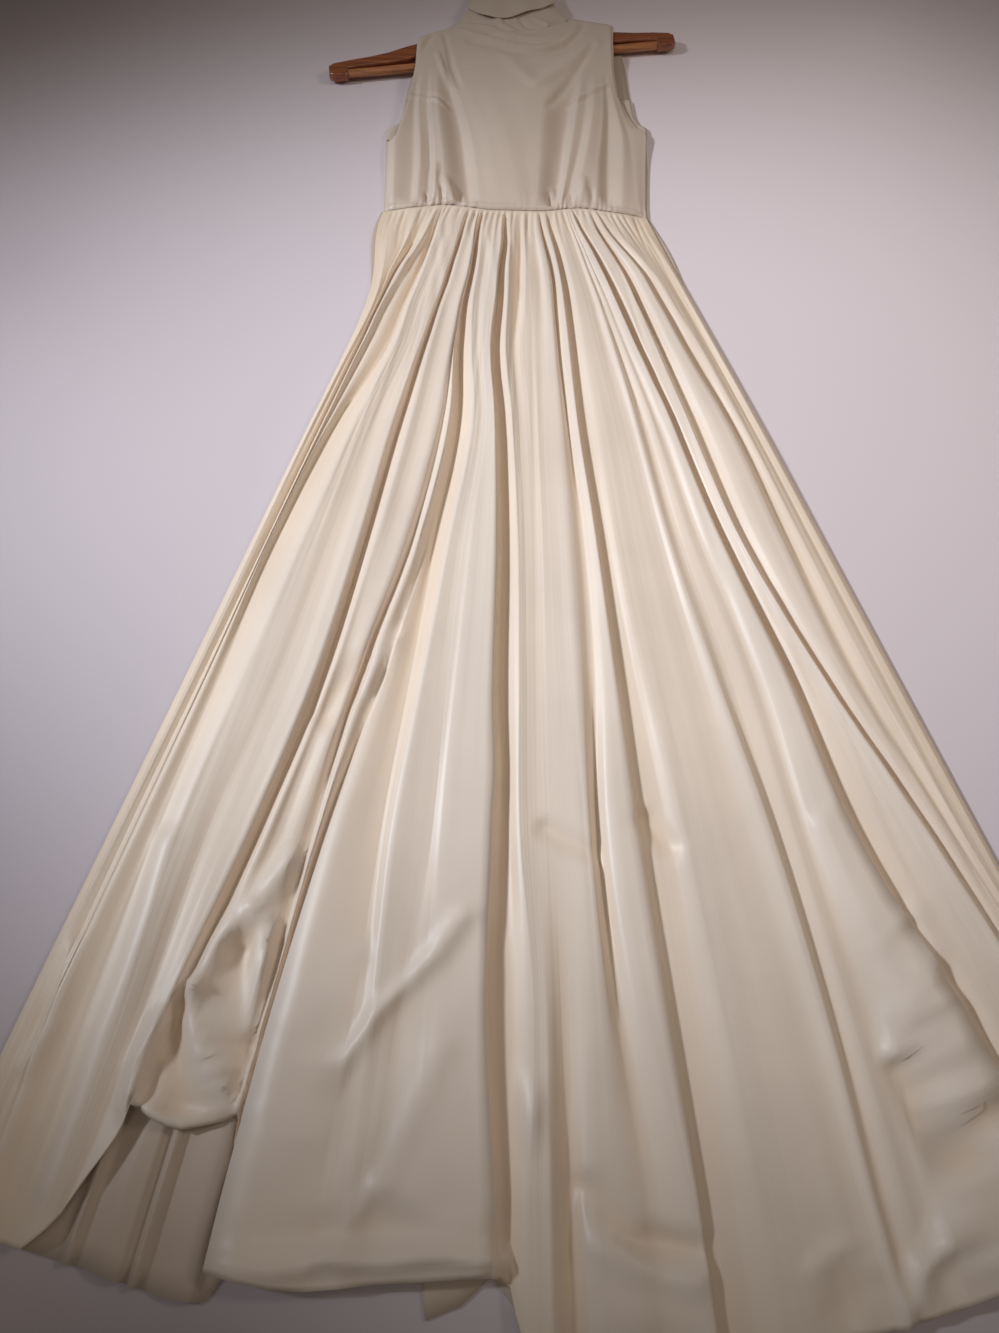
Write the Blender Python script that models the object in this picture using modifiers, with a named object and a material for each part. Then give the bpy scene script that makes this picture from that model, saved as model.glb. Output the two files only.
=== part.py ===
"""Sleeveless maxi dress with a turned-down collar, laid flat on a surface, its wooden hanger still inside.

The dress lies face up: +X is to the right, +Y runs from the hem to the neck, +Z is up. Sizes
are in metres. The layout is drawn from the middle of the waist seam, and at the end the whole
dress is moved so that the middle of its footprint is the origin.
"""

import math

import bmesh
import bpy
from mathutils import Vector

# Driving sizes
MM = 0.001
WALL = 0.0018
SEAM_GAP = 0.0003
LAYER = WALL + SEAM_GAP
BACK_TOP = WALL
FRONT_LOW = BACK_TOP + LAYER

SKIRT_TOP_LEFT = -0.1214
SKIRT_TOP_RIGHT = 0.154
LEFT_FLARE = 0.3415
RIGHT_FLARE = 0.355
HIP_BULGE = 0.0366
HIP_DEPTH = 0.09
BACK_PEEK = 0.006
BACK_PEEK_AT = 0.05
BACK_PEEK_REACH = 0.09
WAIST_LEFT = -0.0045
WAIST_DROP = 0.0105
# Where the bust's gathers lift the seam: share across, reach and rise
WAIST_BUMPS = ((0.25, 0.18, 0.006), (0.75, 0.16, 0.006))
WAIST_FADE = 0.4
WAIST_HEIGHT = 0.0095
SIDE_ROUND = 0.12
FOLD_START = 0.15
PLEAT_CLEARANCE = 1.3
GATHER_SHARE = 0.0217
GATHER_HEIGHT = 0.0015
GATHER_LENGTH = 0.085
SKIRT_ROWS = 17
SKIRT_ROW_BIAS = 1.25
SKIRT_BACK_GRID = (56, 12)
SKIRT_BACK_ROW_BIAS = 0.6

UNDERARM = 0.106
BODICE_ROWS = 18
BODICE_BACK_GRID = (14, 14)
SEAM_BLEND = 0.03
DRAPE_FLATTEN = 0.65
DRAPE_FLATTEN_FROM = 0.148
DRAPE_FLATTEN_OVER = 0.1
SHOULDER_Y = 0.275
SHOULDER_SLOPE = 0.33
SHOULDER_WRAP = 0.004
WRAP_BLEND = 0.006
NECK_DIP = 0.02
BACK_NECK_DIP = 0.005
NECK_CENTRE = -0.004
NECK_HALF = 0.076
NECK_LINE = 0.3
NECK_SLOPE = 0.1

HANGER_CENTRE = (-0.0156, 0.249)
HANGER_TILT = math.radians(7.4)
HANGER_LOW = BACK_TOP + 0.0008
HANGER_THICK = 0.0121
HANGER_MIDDLE = HANGER_LOW + HANGER_THICK / 2
HANGER_NECK = 0.062
BAR_RADIUS = 0.0052
BAR_DROP = -0.0058
BAR_HALF = 0.198
HOOK_RADIUS = 0.0018
HOOK_BEND = 0.022
HOOK_STEM = 0.074
HOOK_START = math.radians(-65)
HOOK_SWEEP = math.radians(235)
HOOK_STEPS = 16

COLLAR_X = -0.006
COLLAR_FOLD = 0.3625
COLLAR_TOP = COLLAR_FOLD + 0.003
COLLAR_COLUMNS = 32
STAND_ROWS = 5
ROLL_ROWS = 4
COLLAR_FLATNESS = 0.25
STAND_TOP = 0.0175
STAND_LIFT = 0.0027
STAND_LIFT_FROM = 0.322
STAND_LIFT_OVER = 0.01
STAND_CRUMPLE = 0.001
STAND_CRUMPLES = 40
STAND_CRUMPLE_AT = 0.302
STAND_CRUMPLE_REACH = 0.02
ROLL_SPACE = 0.0038
ROLL_LIFT = 0.0025
ROLL_FLARE = 0.001
ROLL_EDGE = 0.3405
ROLL_EDGE_HALF = 0.064
ROLL_EDGE_SLOPE = 0.07
ROLL_EDGE_DROP = 0.024
ROLL_EDGE_POINT = 0.013
ROLL_POINT_X = -0.018
ROLL_POINT_REACH = 0.05
ROLL_WAVE = 0.0012
ROLL_WAVES = 150
FACING_WIDTH = 0.014
FACING_FROM = UNDERARM + 0.004
FACING_TO = 0.178
FACING_GRID = (2, 6)

# Distances below the waist seam at which the skirt's creases are placed, and at which their heights are
CREASE_LEVELS = (0, 160, 380, 620, 880, 1120)
CREASE_HEIGHT_LEVELS = (260, 600, 930)

# One row for each crease of the skirt's front, from the left side seam to the right one.
# Places are thousandths of the way across, at the six levels. Heights are in millimetres.
# name, waist, 160, 380, 620, 880, hem, height above, height half way, height below
FRONT_CREASES = (
    ("left_edge", 0, 0, 0, 0, 0, 0, 3.9, 3.9, 3.9),
    ("left_roll", 50, 28, 9, 12, 12, 14, 11, 9, 8),
    ("outer_trough", 95, 58, 21, 28, 26, 40, 8.5, 8, 8),
    ("outer_ridge", 130, 84, 35, 44, 38, 58, 12, 9, 10),
    ("gold_trough", 180, 118, 50, 60, 55, 72, 7, 7, 8),
    ("panel_foot", 200, 138, 74, 72, 70, 84, 12, 10, 10),
    ("panel_crest", 222, 155, 104, 88, 98, 108, 16, 22, 24),
    ("panel_slope", 240, 166, 160, 150, 124, 120, 9, 13, 19),
    ("panel_edge", 265, 184, 180, 171, 137, 132, 17, 19, 21),
    ("edge_trough", 292, 201, 198, 180, 147, 142, 4, 4, 12),
    ("inner_crest", 305, 212, 207, 189, 158, 152, 17, 15, 15),
    ("inner_dip", 325, 238, 240, 222, 200, 196, 13, 10, 14),
    ("fork_crest", 340, 262, 264, 233, 226, 222, 17, 14, 16),
    ("fork_trough", 352, 276, 279, 240, 236, 236, 9, 6, 13),
    ("fork_edge", 360, 284, 293, 247, 243, 243, 16, 17, 14),
    ("side_trough", 368, 289, 301, 266, 248, 249, 12, 9, 12),
    ("side_edge", 376, 295, 310, 277, 255, 259, 16, 18, 21),
    ("deep_left", 392, 306, 324, 316, 316, 318, 4, 7, 15),
    ("left_shoulder", 408, 324, 352, 333, 334, 335, 17, 18, 18),
    ("soft_dip", 425, 348, 380, 373, 370, 360, 16, 14, 15),
    ("cool_crest", 437, 366, 402, 402, 405, 404, 18, 20, 21),
    ("centre_edge", 447, 380, 425, 419, 432, 449, 19, 20, 19),
    ("centre_trough", 455, 391, 435, 430, 444, 458, 4, 4, 5),
    ("trough_rise", 470, 430, 449, 443, 457, 464, 8, 7, 7),
    ("right_lip", 486, 452, 474, 461, 480, 476, 16, 17, 15),
    ("centre_flat", 500, 478, 500, 494, 497, 498, 15, 15, 18),
    ("hem_trough", 516, 503, 520, 519, 513, 513, 15, 14, 5),
    ("hem_crest", 530, 520, 538, 540, 530, 530, 17, 17, 18),
    ("kink_line", 548, 542, 556, 551, 552, 560, 17, 17, 17),
    ("slim_trough", 583, 566, 577, 569, 566, 592, 10, 7, 11),
    ("slim_crest", 597, 590, 599, 588, 581, 609, 17, 18, 19),
    ("band_trough", 606, 604, 612, 614, 616, 622, 6, 7, 9),
    ("band_lip", 640, 625, 636, 641, 656, 662, 16, 15, 15),
    ("right_flat", 660, 655, 664, 668, 684, 692, 14, 14, 13),
    ("bright_rise", 678, 688, 702, 722, 730, 730, 15, 15, 16),
    ("bright_crest", 690, 706, 718, 738, 744, 751, 18, 19, 19),
    ("bright_trough", 700, 722, 736, 754, 759, 763, 11, 9, 9),
    ("second_crest", 712, 735, 764, 782, 777, 786, 15, 16, 17),
    ("second_dip", 722, 747, 778, 795, 790, 800, 11, 13, 14),
    ("fan_edge", 734, 757, 810, 827, 830, 838, 17, 19, 18),
    ("fan_trough", 748, 769, 824, 840, 868, 874, 4, 5, 7),
    ("thin_foot", 757, 780, 836, 850, 881, 888, 12, 13, 15),
    ("thin_crest", 768, 795, 848, 882, 946, 950, 17, 17, 16),
    ("thin_trough", 780, 826, 864, 893, 955, 958, 5, 6, 10),
    ("wide_crest", 800, 850, 884, 908, 963, 966, 17, 15, 10.5),
    ("wide_dip", 820, 872, 912, 926, 970, 972, 14, 12, 9.5),
    ("side_fold", 838, 889, 930, 942, 977, 979, 6, 8, 9),
    ("last_crest", 870, 915, 950, 958, 983, 985, 14, 12, 8.5),
    ("last_trough", 925, 958, 978, 976, 989, 990, 8, 8, 8),
    ("right_roll", 965, 982, 989, 989, 995, 996, 9, 8, 7),
    ("right_edge", 1000, 1000, 1000, 1000, 1000, 1000, 3.9, 3.9, 3.9),
)

# Where the lower edges lie: thousandths across, millimetres below the waist seam
FRONT_HEM = (
    (0, 1063),
    (100, 1088),
    (133, 1084),
    (143, 1000),
    (200, 994),
    (246, 990),
    (257, 1098),
    (300, 1115),
    (380, 1108),
    (458, 1104),
    (476, 1144),
    (600, 1152),
    (700, 1144),
    (750, 1137),
    (830, 1113),
    (900, 1093),
    (1000, 1050),
)
BACK_HEM = (
    (0, 1060),
    (100, 1088),
    (150, 1100),
    (205, 1117),
    (240, 1122),
    (258, 1088),
    (390, 1086),
    (410, 1130),
    (450, 1106),
    (600, 1138),
    (750, 1124),
    (1000, 1045),
)

# Soft swellings: thousandths across, millimetres below the waist seam, half width in
# thousandths, half length and height in millimetres
FRONT_PUFFS = (
    ("pouch", 200, 915, 48, 70, 13),
    ("pouch_lip", 195, 975, 50, 26, 7),
    ("rolled_hem", 365, 1080, 85, 32, 7),
    ("centre_break", 483, 985, 16, 40, 6),
    ("hem_swell", 570, 1125, 42, 30, 8),
    ("right_break", 618, 735, 22, 45, 4),
    ("right_pinch", 845, 905, 34, 55, 12),
    ("right_pocket", 865, 1010, 32, 55, 10),
)

# The back's pleats that lie open below the pouch: thousandths across where they
# start and at the hem, height in millimetres
BACK_PLEATS = (
    ("first_low", 128, 128, 0),
    ("first_high", 140, 140, 5),
    ("second_low", 148, 150, 0),
    ("second_high", 158, 158, 6),
    ("third_low", 192, 190, 0),
    ("third_high", 204, 198, 6),
    ("fourth_low", 213, 206, 0),
    ("fourth_high", 228, 232, 6),
    ("last_low", 240, 246, 0),
)
BACK_PLEAT_TOP = 900
BACK_PLEAT_FULL = 1010

# One row for each crease of the bodice front, from left to right. Places are millimetres
# from the middle, at four heights above the waist seam, and heights are in millimetres.
# name, at the four heights, height below the bust, height over the bust
BODICE_LEVELS = (0, 55, 148, 240)
BODICE_CREASES = (
    ("left_hollow", -136, -137, -134, -118, 5, 6),
    ("left_pleat", -116, -116, -120, -110, 10, 11),
    ("second_hollow", -102, -104, -108, -103, 6, 8),
    ("bust_left", -88, -89, -94, -95, 13, 14),
    ("drape_hollow_left", -62, -68, -79, -86, 7, 8),
    ("drape_left", -44, -54, -64, -72, 13, 14),
    ("middle_left", -20, -26, -32, -38, 11, 14),
    ("middle_right", 18, 16, 16, 20, 11, 14),
    ("drape_right", 34, 36, 42, 56, 12, 14),
    ("drape_hollow_right", 44, 46, 56, 74, 5, 6),
    ("slim_right", 52, 55, 68, 84, 11, 13),
    ("slim_hollow", 60, 63, 78, 92, 6, 8),
    ("bust_right", 78, 80, 92, 100, 13, 14),
    ("third_hollow", 98, 100, 104, 108, 7, 9),
    ("right_pleat", 110, 112, 114, 114, 10, 11),
    ("right_hollow", 132, 136, 132, 120, 6, 7),
)

# Sides of the bodice's two panels: millimetres above the waist seam, left and right edge
FRONT_SIDES = (
    (0, -156, 154),
    (60, -156.5, 157.5),
    (104, -157, 161),
    (108, -149, 161.5),
    (117, -146, 161),
    (125, -143.5, 150),
    (142, -139, 141),
    (178, -132, 128.5),
    (222, -126, 124.5),
    (268, -125, 125),
    (310, -116, 128),
)
BACK_SIDES = (
    (0, -158, 156),
    (60, -159, 160),
    (106, -160, 163),
    (120, -157, 162),
    (146, -149, 153),
    (196, -138, 142.5),
    (236, -128.5, 140.5),
    (268, -127, 136),
    (310, -118, 130),
)

# How high the bodice front lies: millimetres from the hanger's axis, millimetres up
BODICE_RISE = ((-260, 3.9), (-190, 4.5), (-160, 7), (-95, 8), (-50, 11.5), (-22, 17.0), (80, 17.2))

# Half width of the collar: millimetres above the waist seam, half width in millimetres
STAND_WIDTH = ((275, 76), (300, 71), (320, 55), (345, 43), (367, 39.5))

# The hanger's outline: distance from its middle, upper edge and lower edge, in millimetres
HANGER_EDGE = (
    (0, 62, 34),
    (12, 62, 33),
    (22, 49, 31),
    (44, 44.5, 26),
    (65, 39, 20),
    (88, 36, 14),
    (104, 31.5, 9),
    (120, 28, 5),
    (145, 20, 1),
    (170, 15.5, 0.5),
    (198, 12.5, 0.2),
    (198.5, 12.2, -12.5),
    (216, 9.5, -12.5),
    (222, 5, -8),
)

# Base colour, roughness and metallic value
CLOTH_FINISH = ((0.80, 0.74, 0.64), 0.62, 0.0)
INSIDE_FINISH = ((0.74, 0.67, 0.55), 0.7, 0.0)
WOOD_FINISH = ((0.25, 0.09, 0.045), 0.38, 0.0)
BAR_FINISH = ((0.45, 0.2, 0.08), 0.42, 0.0)
STEEL_FINISH = ((0.72, 0.72, 0.70), 0.25, 1.0)


def ease(t):
    """Smooth step from 0 to 1."""
    t = min(1.0, max(0.0, t))
    return t * t * (3 - 2 * t)


def bell(t):
    """A soft bump: 1 at 0, and 0 from 1 on."""
    return ease(1 - abs(t))


def straight(table, x, column=1):
    """Value of a table's column at x, on straight lines between its rows."""
    if x <= table[0][0]:
        return table[0][column]
    for low, high in zip(table, table[1:]):
        if x <= high[0]:
            part = (x - low[0]) / (high[0] - low[0])
            return low[column] + (high[column] - low[column]) * part
    return table[-1][column]


def curve_through(xs, ys, x):
    """Value at x on a smooth curve through the points."""
    x = min(max(x, xs[0]), xs[-1])
    i = max(j for j in range(len(xs) - 1) if xs[j] <= x)
    span = xs[i + 1] - xs[i]

    def slope(j):
        a, b = max(j - 1, 0), min(j + 1, len(xs) - 1)
        return (ys[b] - ys[a]) / (xs[b] - xs[a])

    t = (x - xs[i]) / span
    start, end = slope(i) * span, slope(i + 1) * span
    return (
        ys[i] * (1 + 2 * t) * (1 - t) ** 2
        + start * t * (1 - t) ** 2
        + ys[i + 1] * t * t * (3 - 2 * t)
        + end * t * t * (t - 1)
    )


# The skirt


def skirt_left(down):
    return SKIRT_TOP_LEFT - LEFT_FLARE * down - HIP_BULGE * math.exp(-((down / HIP_DEPTH) ** 2))


def skirt_right(down):
    return SKIRT_TOP_RIGHT + RIGHT_FLARE * down


def waist_line(share, front=True):
    """How far along the waist seam lies, at a share of the way across. Only the front is lifted."""
    bumps = sum(rise * bell((share - at) / reach) for at, reach, rise in WAIST_BUMPS)
    return WAIST_LEFT - WAIST_DROP * share + (bumps if front else 0.0)


def waist_height(share):
    """Height of the front at the waist seam: low at the side seams."""
    return FRONT_LOW + (WAIST_HEIGHT - FRONT_LOW) * ease(min(share, 1 - share) / SIDE_ROUND)


def skirt_point(share, down, height, front=True):
    """A point of the skirt from its share across, its distance down and its height."""
    x = skirt_left(down) + share * (skirt_right(down) - skirt_left(down))
    y = waist_line(share, front) * (1 - ease(down / WAIST_FADE)) - down
    return Vector((x, y, height))


def gather_columns():
    """The columns of the front's grid, half a gather apart at the waist: which crease is
    on the left, and how far the column lies towards the next one."""
    columns = []
    for i, (row, following) in enumerate(zip(FRONT_CREASES, FRONT_CREASES[1:])):
        gap = (following[1] - row[1]) * MM
        count = max(1, round(gap / (GATHER_SHARE / 2)))
        columns += [(i, k / count) for k in range(count)]
    return columns + [(len(FRONT_CREASES) - 2, 1.0)]


def crease_at(row, down):
    """Share across and height of one crease at a distance down."""
    share = curve_through(CREASE_LEVELS, row[1:7], down / MM) * MM
    height = curve_through(CREASE_HEIGHT_LEVELS, row[7:10], down / MM) * MM
    return share, height


def puff_height(share, down):
    """Height that the swellings add."""
    total = 0.0
    for _, across, below, half_width, half_length, height in FRONT_PUFFS:
        near = bell((share / MM - across) / half_width) * bell((down / MM - below) / half_length)
        total += height * MM * near
    return total


def back_pleat_height(share, down):
    """Height of the back's open pleats."""
    grown = ease((down / MM - BACK_PLEAT_TOP) / (BACK_PLEAT_FULL - BACK_PLEAT_TOP))
    pleats = [(top + (low - top) * grown, height) for _, top, low, height in BACK_PLEATS]
    return straight(pleats, share / MM) * grown * MM


def skirt_front_point(column, number, along):
    """A point of the skirt front. along runs from 0 at the waist seam to 1 at the hem."""
    i, part = column
    left, right = FRONT_CREASES[i], FRONT_CREASES[i + 1]
    hem_share = left[6] + (right[6] - left[6]) * part
    down = along * straight(FRONT_HEM, hem_share) * MM
    (s0, z0), (s1, z1) = crease_at(left, down), crease_at(right, down)
    share = s0 + (s1 - s0) * part
    height = z0 + (z1 - z0) * ease(part) + puff_height(share, down)
    height = waist_height(share) + (height - waist_height(share)) * ease(down / FOLD_START)
    inner = ease(min(share, 1 - share) / SIDE_ROUND)
    gather = GATHER_HEIGHT if number % 2 else -GATHER_HEIGHT
    height += gather * math.exp(-((down / GATHER_LENGTH) ** 2)) * inner
    lowest = FRONT_LOW + PLEAT_CLEARANCE * back_pleat_height(share, down)
    return skirt_point(share, down, max(height, lowest))


def skirt_back_point(share, along):
    """A point of the skirt back's upper side."""
    down = along * straight(BACK_HEM, share / MM) * MM
    peek = BACK_PEEK * bell((down - BACK_PEEK_AT) / BACK_PEEK_REACH) * (2 * share - 1)
    point = skirt_point(share, down, BACK_TOP + back_pleat_height(share, down), front=False)
    point.x += peek
    return point


# The bodice


def panel_side(sides, up, right):
    return straight(sides, up / MM, 2 if right else 1) * MM


def top_line(x, dip):
    """Upper edge of a bodice panel: the shoulder seams, and the neckline that dips between them."""
    rise = NECK_LINE + NECK_SLOPE * x
    shoulder = max(0.0, abs(x - NECK_CENTRE) - NECK_HALF) * SHOULDER_SLOPE
    return rise - shoulder - dip * math.sqrt(max(0.0, 1 - ((x - NECK_CENTRE) / NECK_HALF) ** 2))


def from_hanger_axis(x, y):
    """Distance of a place above the hanger's long axis."""
    return (y - HANGER_CENTRE[1]) * math.cos(HANGER_TILT) - (x - HANGER_CENTRE[0]) * math.sin(HANGER_TILT)


def bodice_columns():
    """Pairs of (crease number, part of the way to the next). Crease 0 and the last are the edges."""
    count = len(BODICE_CREASES) + 2
    columns = []
    for i in range(count - 1):
        columns += [(i, 0.0), (i, 0.5)]
    return columns + [(count - 2, 1.0)]


def bodice_crease(number, up):
    """Sideways place and relief of one crease at a height above the waist seam."""
    if number == 0:
        return panel_side(FRONT_SIDES, up, False), 0.0
    if number == len(BODICE_CREASES) + 1:
        return panel_side(FRONT_SIDES, up, True), 0.0
    row = BODICE_CREASES[number - 1]
    place = curve_through(BODICE_LEVELS, row[1:5], up / MM) * MM
    relief = straight(((40, row[5]), (170, row[6])), up / MM)
    return place, (relief - 4) * MM


def bodice_front_point(column, row):
    """A point of the bodice front. Its last row is the top edge, and the one before it lies
    where the front folds over the hanger."""
    i, part = column
    x0, _ = bodice_crease(i, SHOULDER_Y)
    x1, _ = bodice_crease(i + 1, SHOULDER_Y)
    top = top_line(x0 + (x1 - x0) * part, NECK_DIP)
    low_x = bodice_crease(i, 0)[0] * (1 - part) + bodice_crease(i + 1, 0)[0] * part
    share = (low_x - skirt_left(0)) / (skirt_right(0) - skirt_left(0))
    low = waist_line(share) + SEAM_GAP
    at_top = row == BODICE_ROWS
    y = top if at_top else low + (top - SHOULDER_WRAP - low) * row / (BODICE_ROWS - 1)
    (x0, h0), (x1, h1) = bodice_crease(i, y), bodice_crease(i + 1, y)
    x = x0 + (x1 - x0) * part
    relief = h0 + (h1 - h0) * ease(part)
    base = straight(BODICE_RISE, from_hanger_axis(x, y) / MM) * MM
    height = base + relief * (1 - DRAPE_FLATTEN * ease((y - DRAPE_FLATTEN_FROM) / DRAPE_FLATTEN_OVER))
    height = waist_height(share) + (height - waist_height(share)) * ease(y / SEAM_BLEND)
    edge = ease((abs(x - NECK_CENTRE) - NECK_HALF + WRAP_BLEND) / WRAP_BLEND)
    if at_top:
        height += (FRONT_LOW + SEAM_GAP - height) * edge
    return Vector((x, y, height))


def bodice_back_point(part, along):
    """A point of the bodice back's upper side."""
    left, right = panel_side(BACK_SIDES, SHOULDER_Y, False), panel_side(BACK_SIDES, SHOULDER_Y, True)
    top = top_line(left + (right - left) * part, BACK_NECK_DIP)
    low = waist_line(part, front=False) + SEAM_GAP
    y = low + along * (top - low)
    x = panel_side(BACK_SIDES, y, False) * (1 - part) + panel_side(BACK_SIDES, y, True) * part
    return Vector((x, y, BACK_TOP))


def facing_point(part, along, right):
    """A point of an armhole facing, on the inside of the bodice back."""
    y = FACING_FROM + along * (FACING_TO - FACING_FROM)
    inward = -1 if right else 1
    edge = panel_side(BACK_SIDES, y, right)
    distance = FACING_WIDTH * (1 - part if right else part)
    return Vector((edge + inward * distance, y, BACK_TOP + LAYER))


# The collar


def collar_ring(half_width, low, high, turn):
    """Sideways place and height on a flattened tube, at a part of a turn from its right side."""
    angle = 2 * math.pi * turn
    rise = math.sin(angle)
    flat = math.copysign(abs(rise) ** COLLAR_FLATNESS, rise)
    return COLLAR_X + half_width * math.cos(angle), (low + high) / 2 + flat * (high - low) / 2


def stand_point(turn, along):
    """A point of the collar's stand, from the neckline to the fold."""
    front = math.sin(2 * math.pi * turn) > 0
    x0, _ = collar_ring(NECK_HALF, 0, 1, turn)
    base = top_line(x0, NECK_DIP if front else BACK_NECK_DIP) + 2 * SEAM_GAP
    y = base + along * (COLLAR_FOLD - base)
    low = WALL / 2 + STAND_LIFT * ease((y - STAND_LIFT_FROM) / STAND_LIFT_OVER)
    crumple = math.sin(STAND_CRUMPLES * turn) * bell((y - STAND_CRUMPLE_AT) / STAND_CRUMPLE_REACH)
    half = straight(STAND_WIDTH, y / MM) * MM
    x, z = collar_ring(half, low, STAND_TOP + STAND_CRUMPLE * crumple, turn)
    return Vector((x, y, z))


def roll_point(turn, along):
    """A point of the turned-down layer. along runs from 0 at the fold to 1 at its lower edge."""
    front = max(0.0, math.sin(2 * math.pi * turn))
    x0, _ = collar_ring(ROLL_EDGE_HALF, 0, 1, turn)
    point = ROLL_EDGE_POINT * bell((x0 - ROLL_POINT_X) / ROLL_POINT_REACH)
    edge = ROLL_EDGE + ROLL_EDGE_SLOPE * x0 - (ROLL_EDGE_DROP + point) * front
    y = COLLAR_FOLD + along * (edge - COLLAR_FOLD)
    wave = ROLL_WAVE * (1 + math.sin(ROLL_WAVES * x0)) * along * front
    half = straight(STAND_WIDTH, y / MM) * MM + ROLL_SPACE + ROLL_FLARE * along
    x, z = collar_ring(half, WALL / 2, STAND_TOP + ROLL_LIFT + wave, turn)
    return Vector((x, y, z))


def fold_point(turn):
    """A point of the fold between the stand and the turned-down layer."""
    inner, outer = stand_point(turn, 1), roll_point(turn, 0)
    middle = (inner + outer) / 2
    middle.y = COLLAR_TOP
    return middle


# The hanger


def on_hanger(x, y, z):
    """A place from the hanger's own middle, turned as the hanger lies."""
    c, s = math.cos(HANGER_TILT), math.sin(HANGER_TILT)
    return Vector((HANGER_CENTRE[0] + x * c - y * s, HANGER_CENTRE[1] + x * s + y * c, z))


def hook_route():
    """The hook's wire: a stem out of the hanger's neck, then a bend that stays open on one side."""
    stem_foot = HANGER_NECK + SEAM_GAP
    bend_y = stem_foot + HOOK_STEM + HOOK_BEND
    route = [(0.0, stem_foot), (0.0, stem_foot + HOOK_STEM * 0.7), (0.0, stem_foot + HOOK_STEM * 0.95)]
    for k in range(HOOK_STEPS + 1):
        angle = HOOK_START + HOOK_SWEEP * k / HOOK_STEPS
        route.append((HOOK_BEND * math.cos(angle), bend_y + HOOK_BEND * math.sin(angle)))
    return route


# The modelling tools


def material(name, finish):
    base, rough, metal = finish
    made = bpy.data.materials.new(name)
    made.use_nodes = True
    shader = made.node_tree.nodes["Principled BSDF"]
    shader.inputs["Base Color"].default_value = (*base, 1)
    shader.inputs["Roughness"].default_value = rough
    shader.inputs["Metallic"].default_value = metal
    return made


def link(name, mesh, finish):
    obj = bpy.data.objects.new(name, mesh)
    bpy.data.collections["maxi_dress"].objects.link(obj)
    mesh.materials.append(material(name, finish))
    return obj


def cloth(name, across, along, point_of, finish, closed=False, offset=-1.0):
    """A wall of cloth: a grid moved onto point_of(column, row), then thickened."""
    bm = bmesh.new()
    bmesh.ops.create_grid(bm, x_segments=across, y_segments=along, size=0.5)
    for vert in bm.verts:
        column = round((vert.co.x + 0.5) * across)
        row = round((vert.co.y + 0.5) * along)
        vert.co = point_of(column, row)
    if closed:
        bmesh.ops.remove_doubles(bm, verts=bm.verts, dist=1e-6)
    mesh = bpy.data.meshes.new(name)
    bm.to_mesh(mesh)
    bm.free()
    mesh.shade_smooth()
    wall = link(name, mesh, finish).modifiers.new("wall", "SOLIDIFY")
    wall.thickness = WALL
    wall.offset = offset


def build_skirt():
    columns = gather_columns()

    def front(column, row):
        return skirt_front_point(columns[column], column, (1 - row / SKIRT_ROWS) ** SKIRT_ROW_BIAS)

    cloth("skirt_front", len(columns) - 1, SKIRT_ROWS, front, CLOTH_FINISH)
    across, rows = SKIRT_BACK_GRID

    def back(column, row):
        return skirt_back_point(column / across, (1 - row / rows) ** SKIRT_BACK_ROW_BIAS)

    cloth("skirt_back", across, rows, back, INSIDE_FINISH)


def build_bodice():
    columns = bodice_columns()

    def front(column, row):
        return bodice_front_point(columns[column], row)

    cloth("bodice_front", len(columns) - 1, BODICE_ROWS, front, CLOTH_FINISH)
    across, rows = BODICE_BACK_GRID

    def back(column, row):
        return bodice_back_point(column / across, row / rows)

    cloth("bodice_back", across, rows, back, INSIDE_FINISH)


def build_facing(name, right):
    across, rows = FACING_GRID

    def facing(column, row):
        return facing_point(column / across, row / rows, right)

    cloth(name, across, rows, facing, INSIDE_FINISH)


def build_collar():
    def point_of(column, row):
        turn = 1 - (column % COLLAR_COLUMNS) / COLLAR_COLUMNS
        if row <= STAND_ROWS:
            return stand_point(turn, row / STAND_ROWS)
        if row == STAND_ROWS + 1:
            return fold_point(turn)
        return roll_point(turn, (row - STAND_ROWS - 2) / ROLL_ROWS)

    rows = STAND_ROWS + ROLL_ROWS + 2
    cloth("collar", COLLAR_COLUMNS, rows, point_of, CLOTH_FINISH, closed=True, offset=0.0)


def build_hanger():
    edge = [(x * MM, top * MM, low * MM) for x, top, low in HANGER_EDGE]
    upper = [(x, top) for x, top, _ in edge]
    lower = [(x, low) for x, _, low in reversed(edge)]
    half = upper + lower[:-1]
    outline = half + [(-x, y) for x, y in reversed(half[1:])] + [(0.0, edge[0][2])]
    curve = bpy.data.curves.new("hanger_body", "CURVE")
    curve.dimensions = "2D"
    curve.fill_mode = "BOTH"
    curve.extrude = HANGER_THICK / 2
    spline = curve.splines.new("POLY")
    spline.points.add(len(outline) - 1)
    for point, (x, y) in zip(spline.points, outline):
        point.co = (x, y, 0, 1)
    spline.use_cyclic_u = True
    body = link("hanger_body", curve, WOOD_FINISH)
    body.location = on_hanger(0, 0, HANGER_MIDDLE)
    body.rotation_euler = (0, 0, HANGER_TILT)


def build_wire(name, route, radius, finish):
    """A round rod or wire along points given from the hanger's middle."""
    curve = bpy.data.curves.new(name, "CURVE")
    curve.dimensions = "3D"
    curve.bevel_depth = radius
    curve.bevel_resolution = 3
    curve.use_fill_caps = True
    spline = curve.splines.new("POLY")
    spline.points.add(len(route) - 1)
    for point, (x, y) in zip(spline.points, route):
        point.co = (*on_hanger(x, y, HANGER_MIDDLE), 1)
    link(name, curve, finish)


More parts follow.
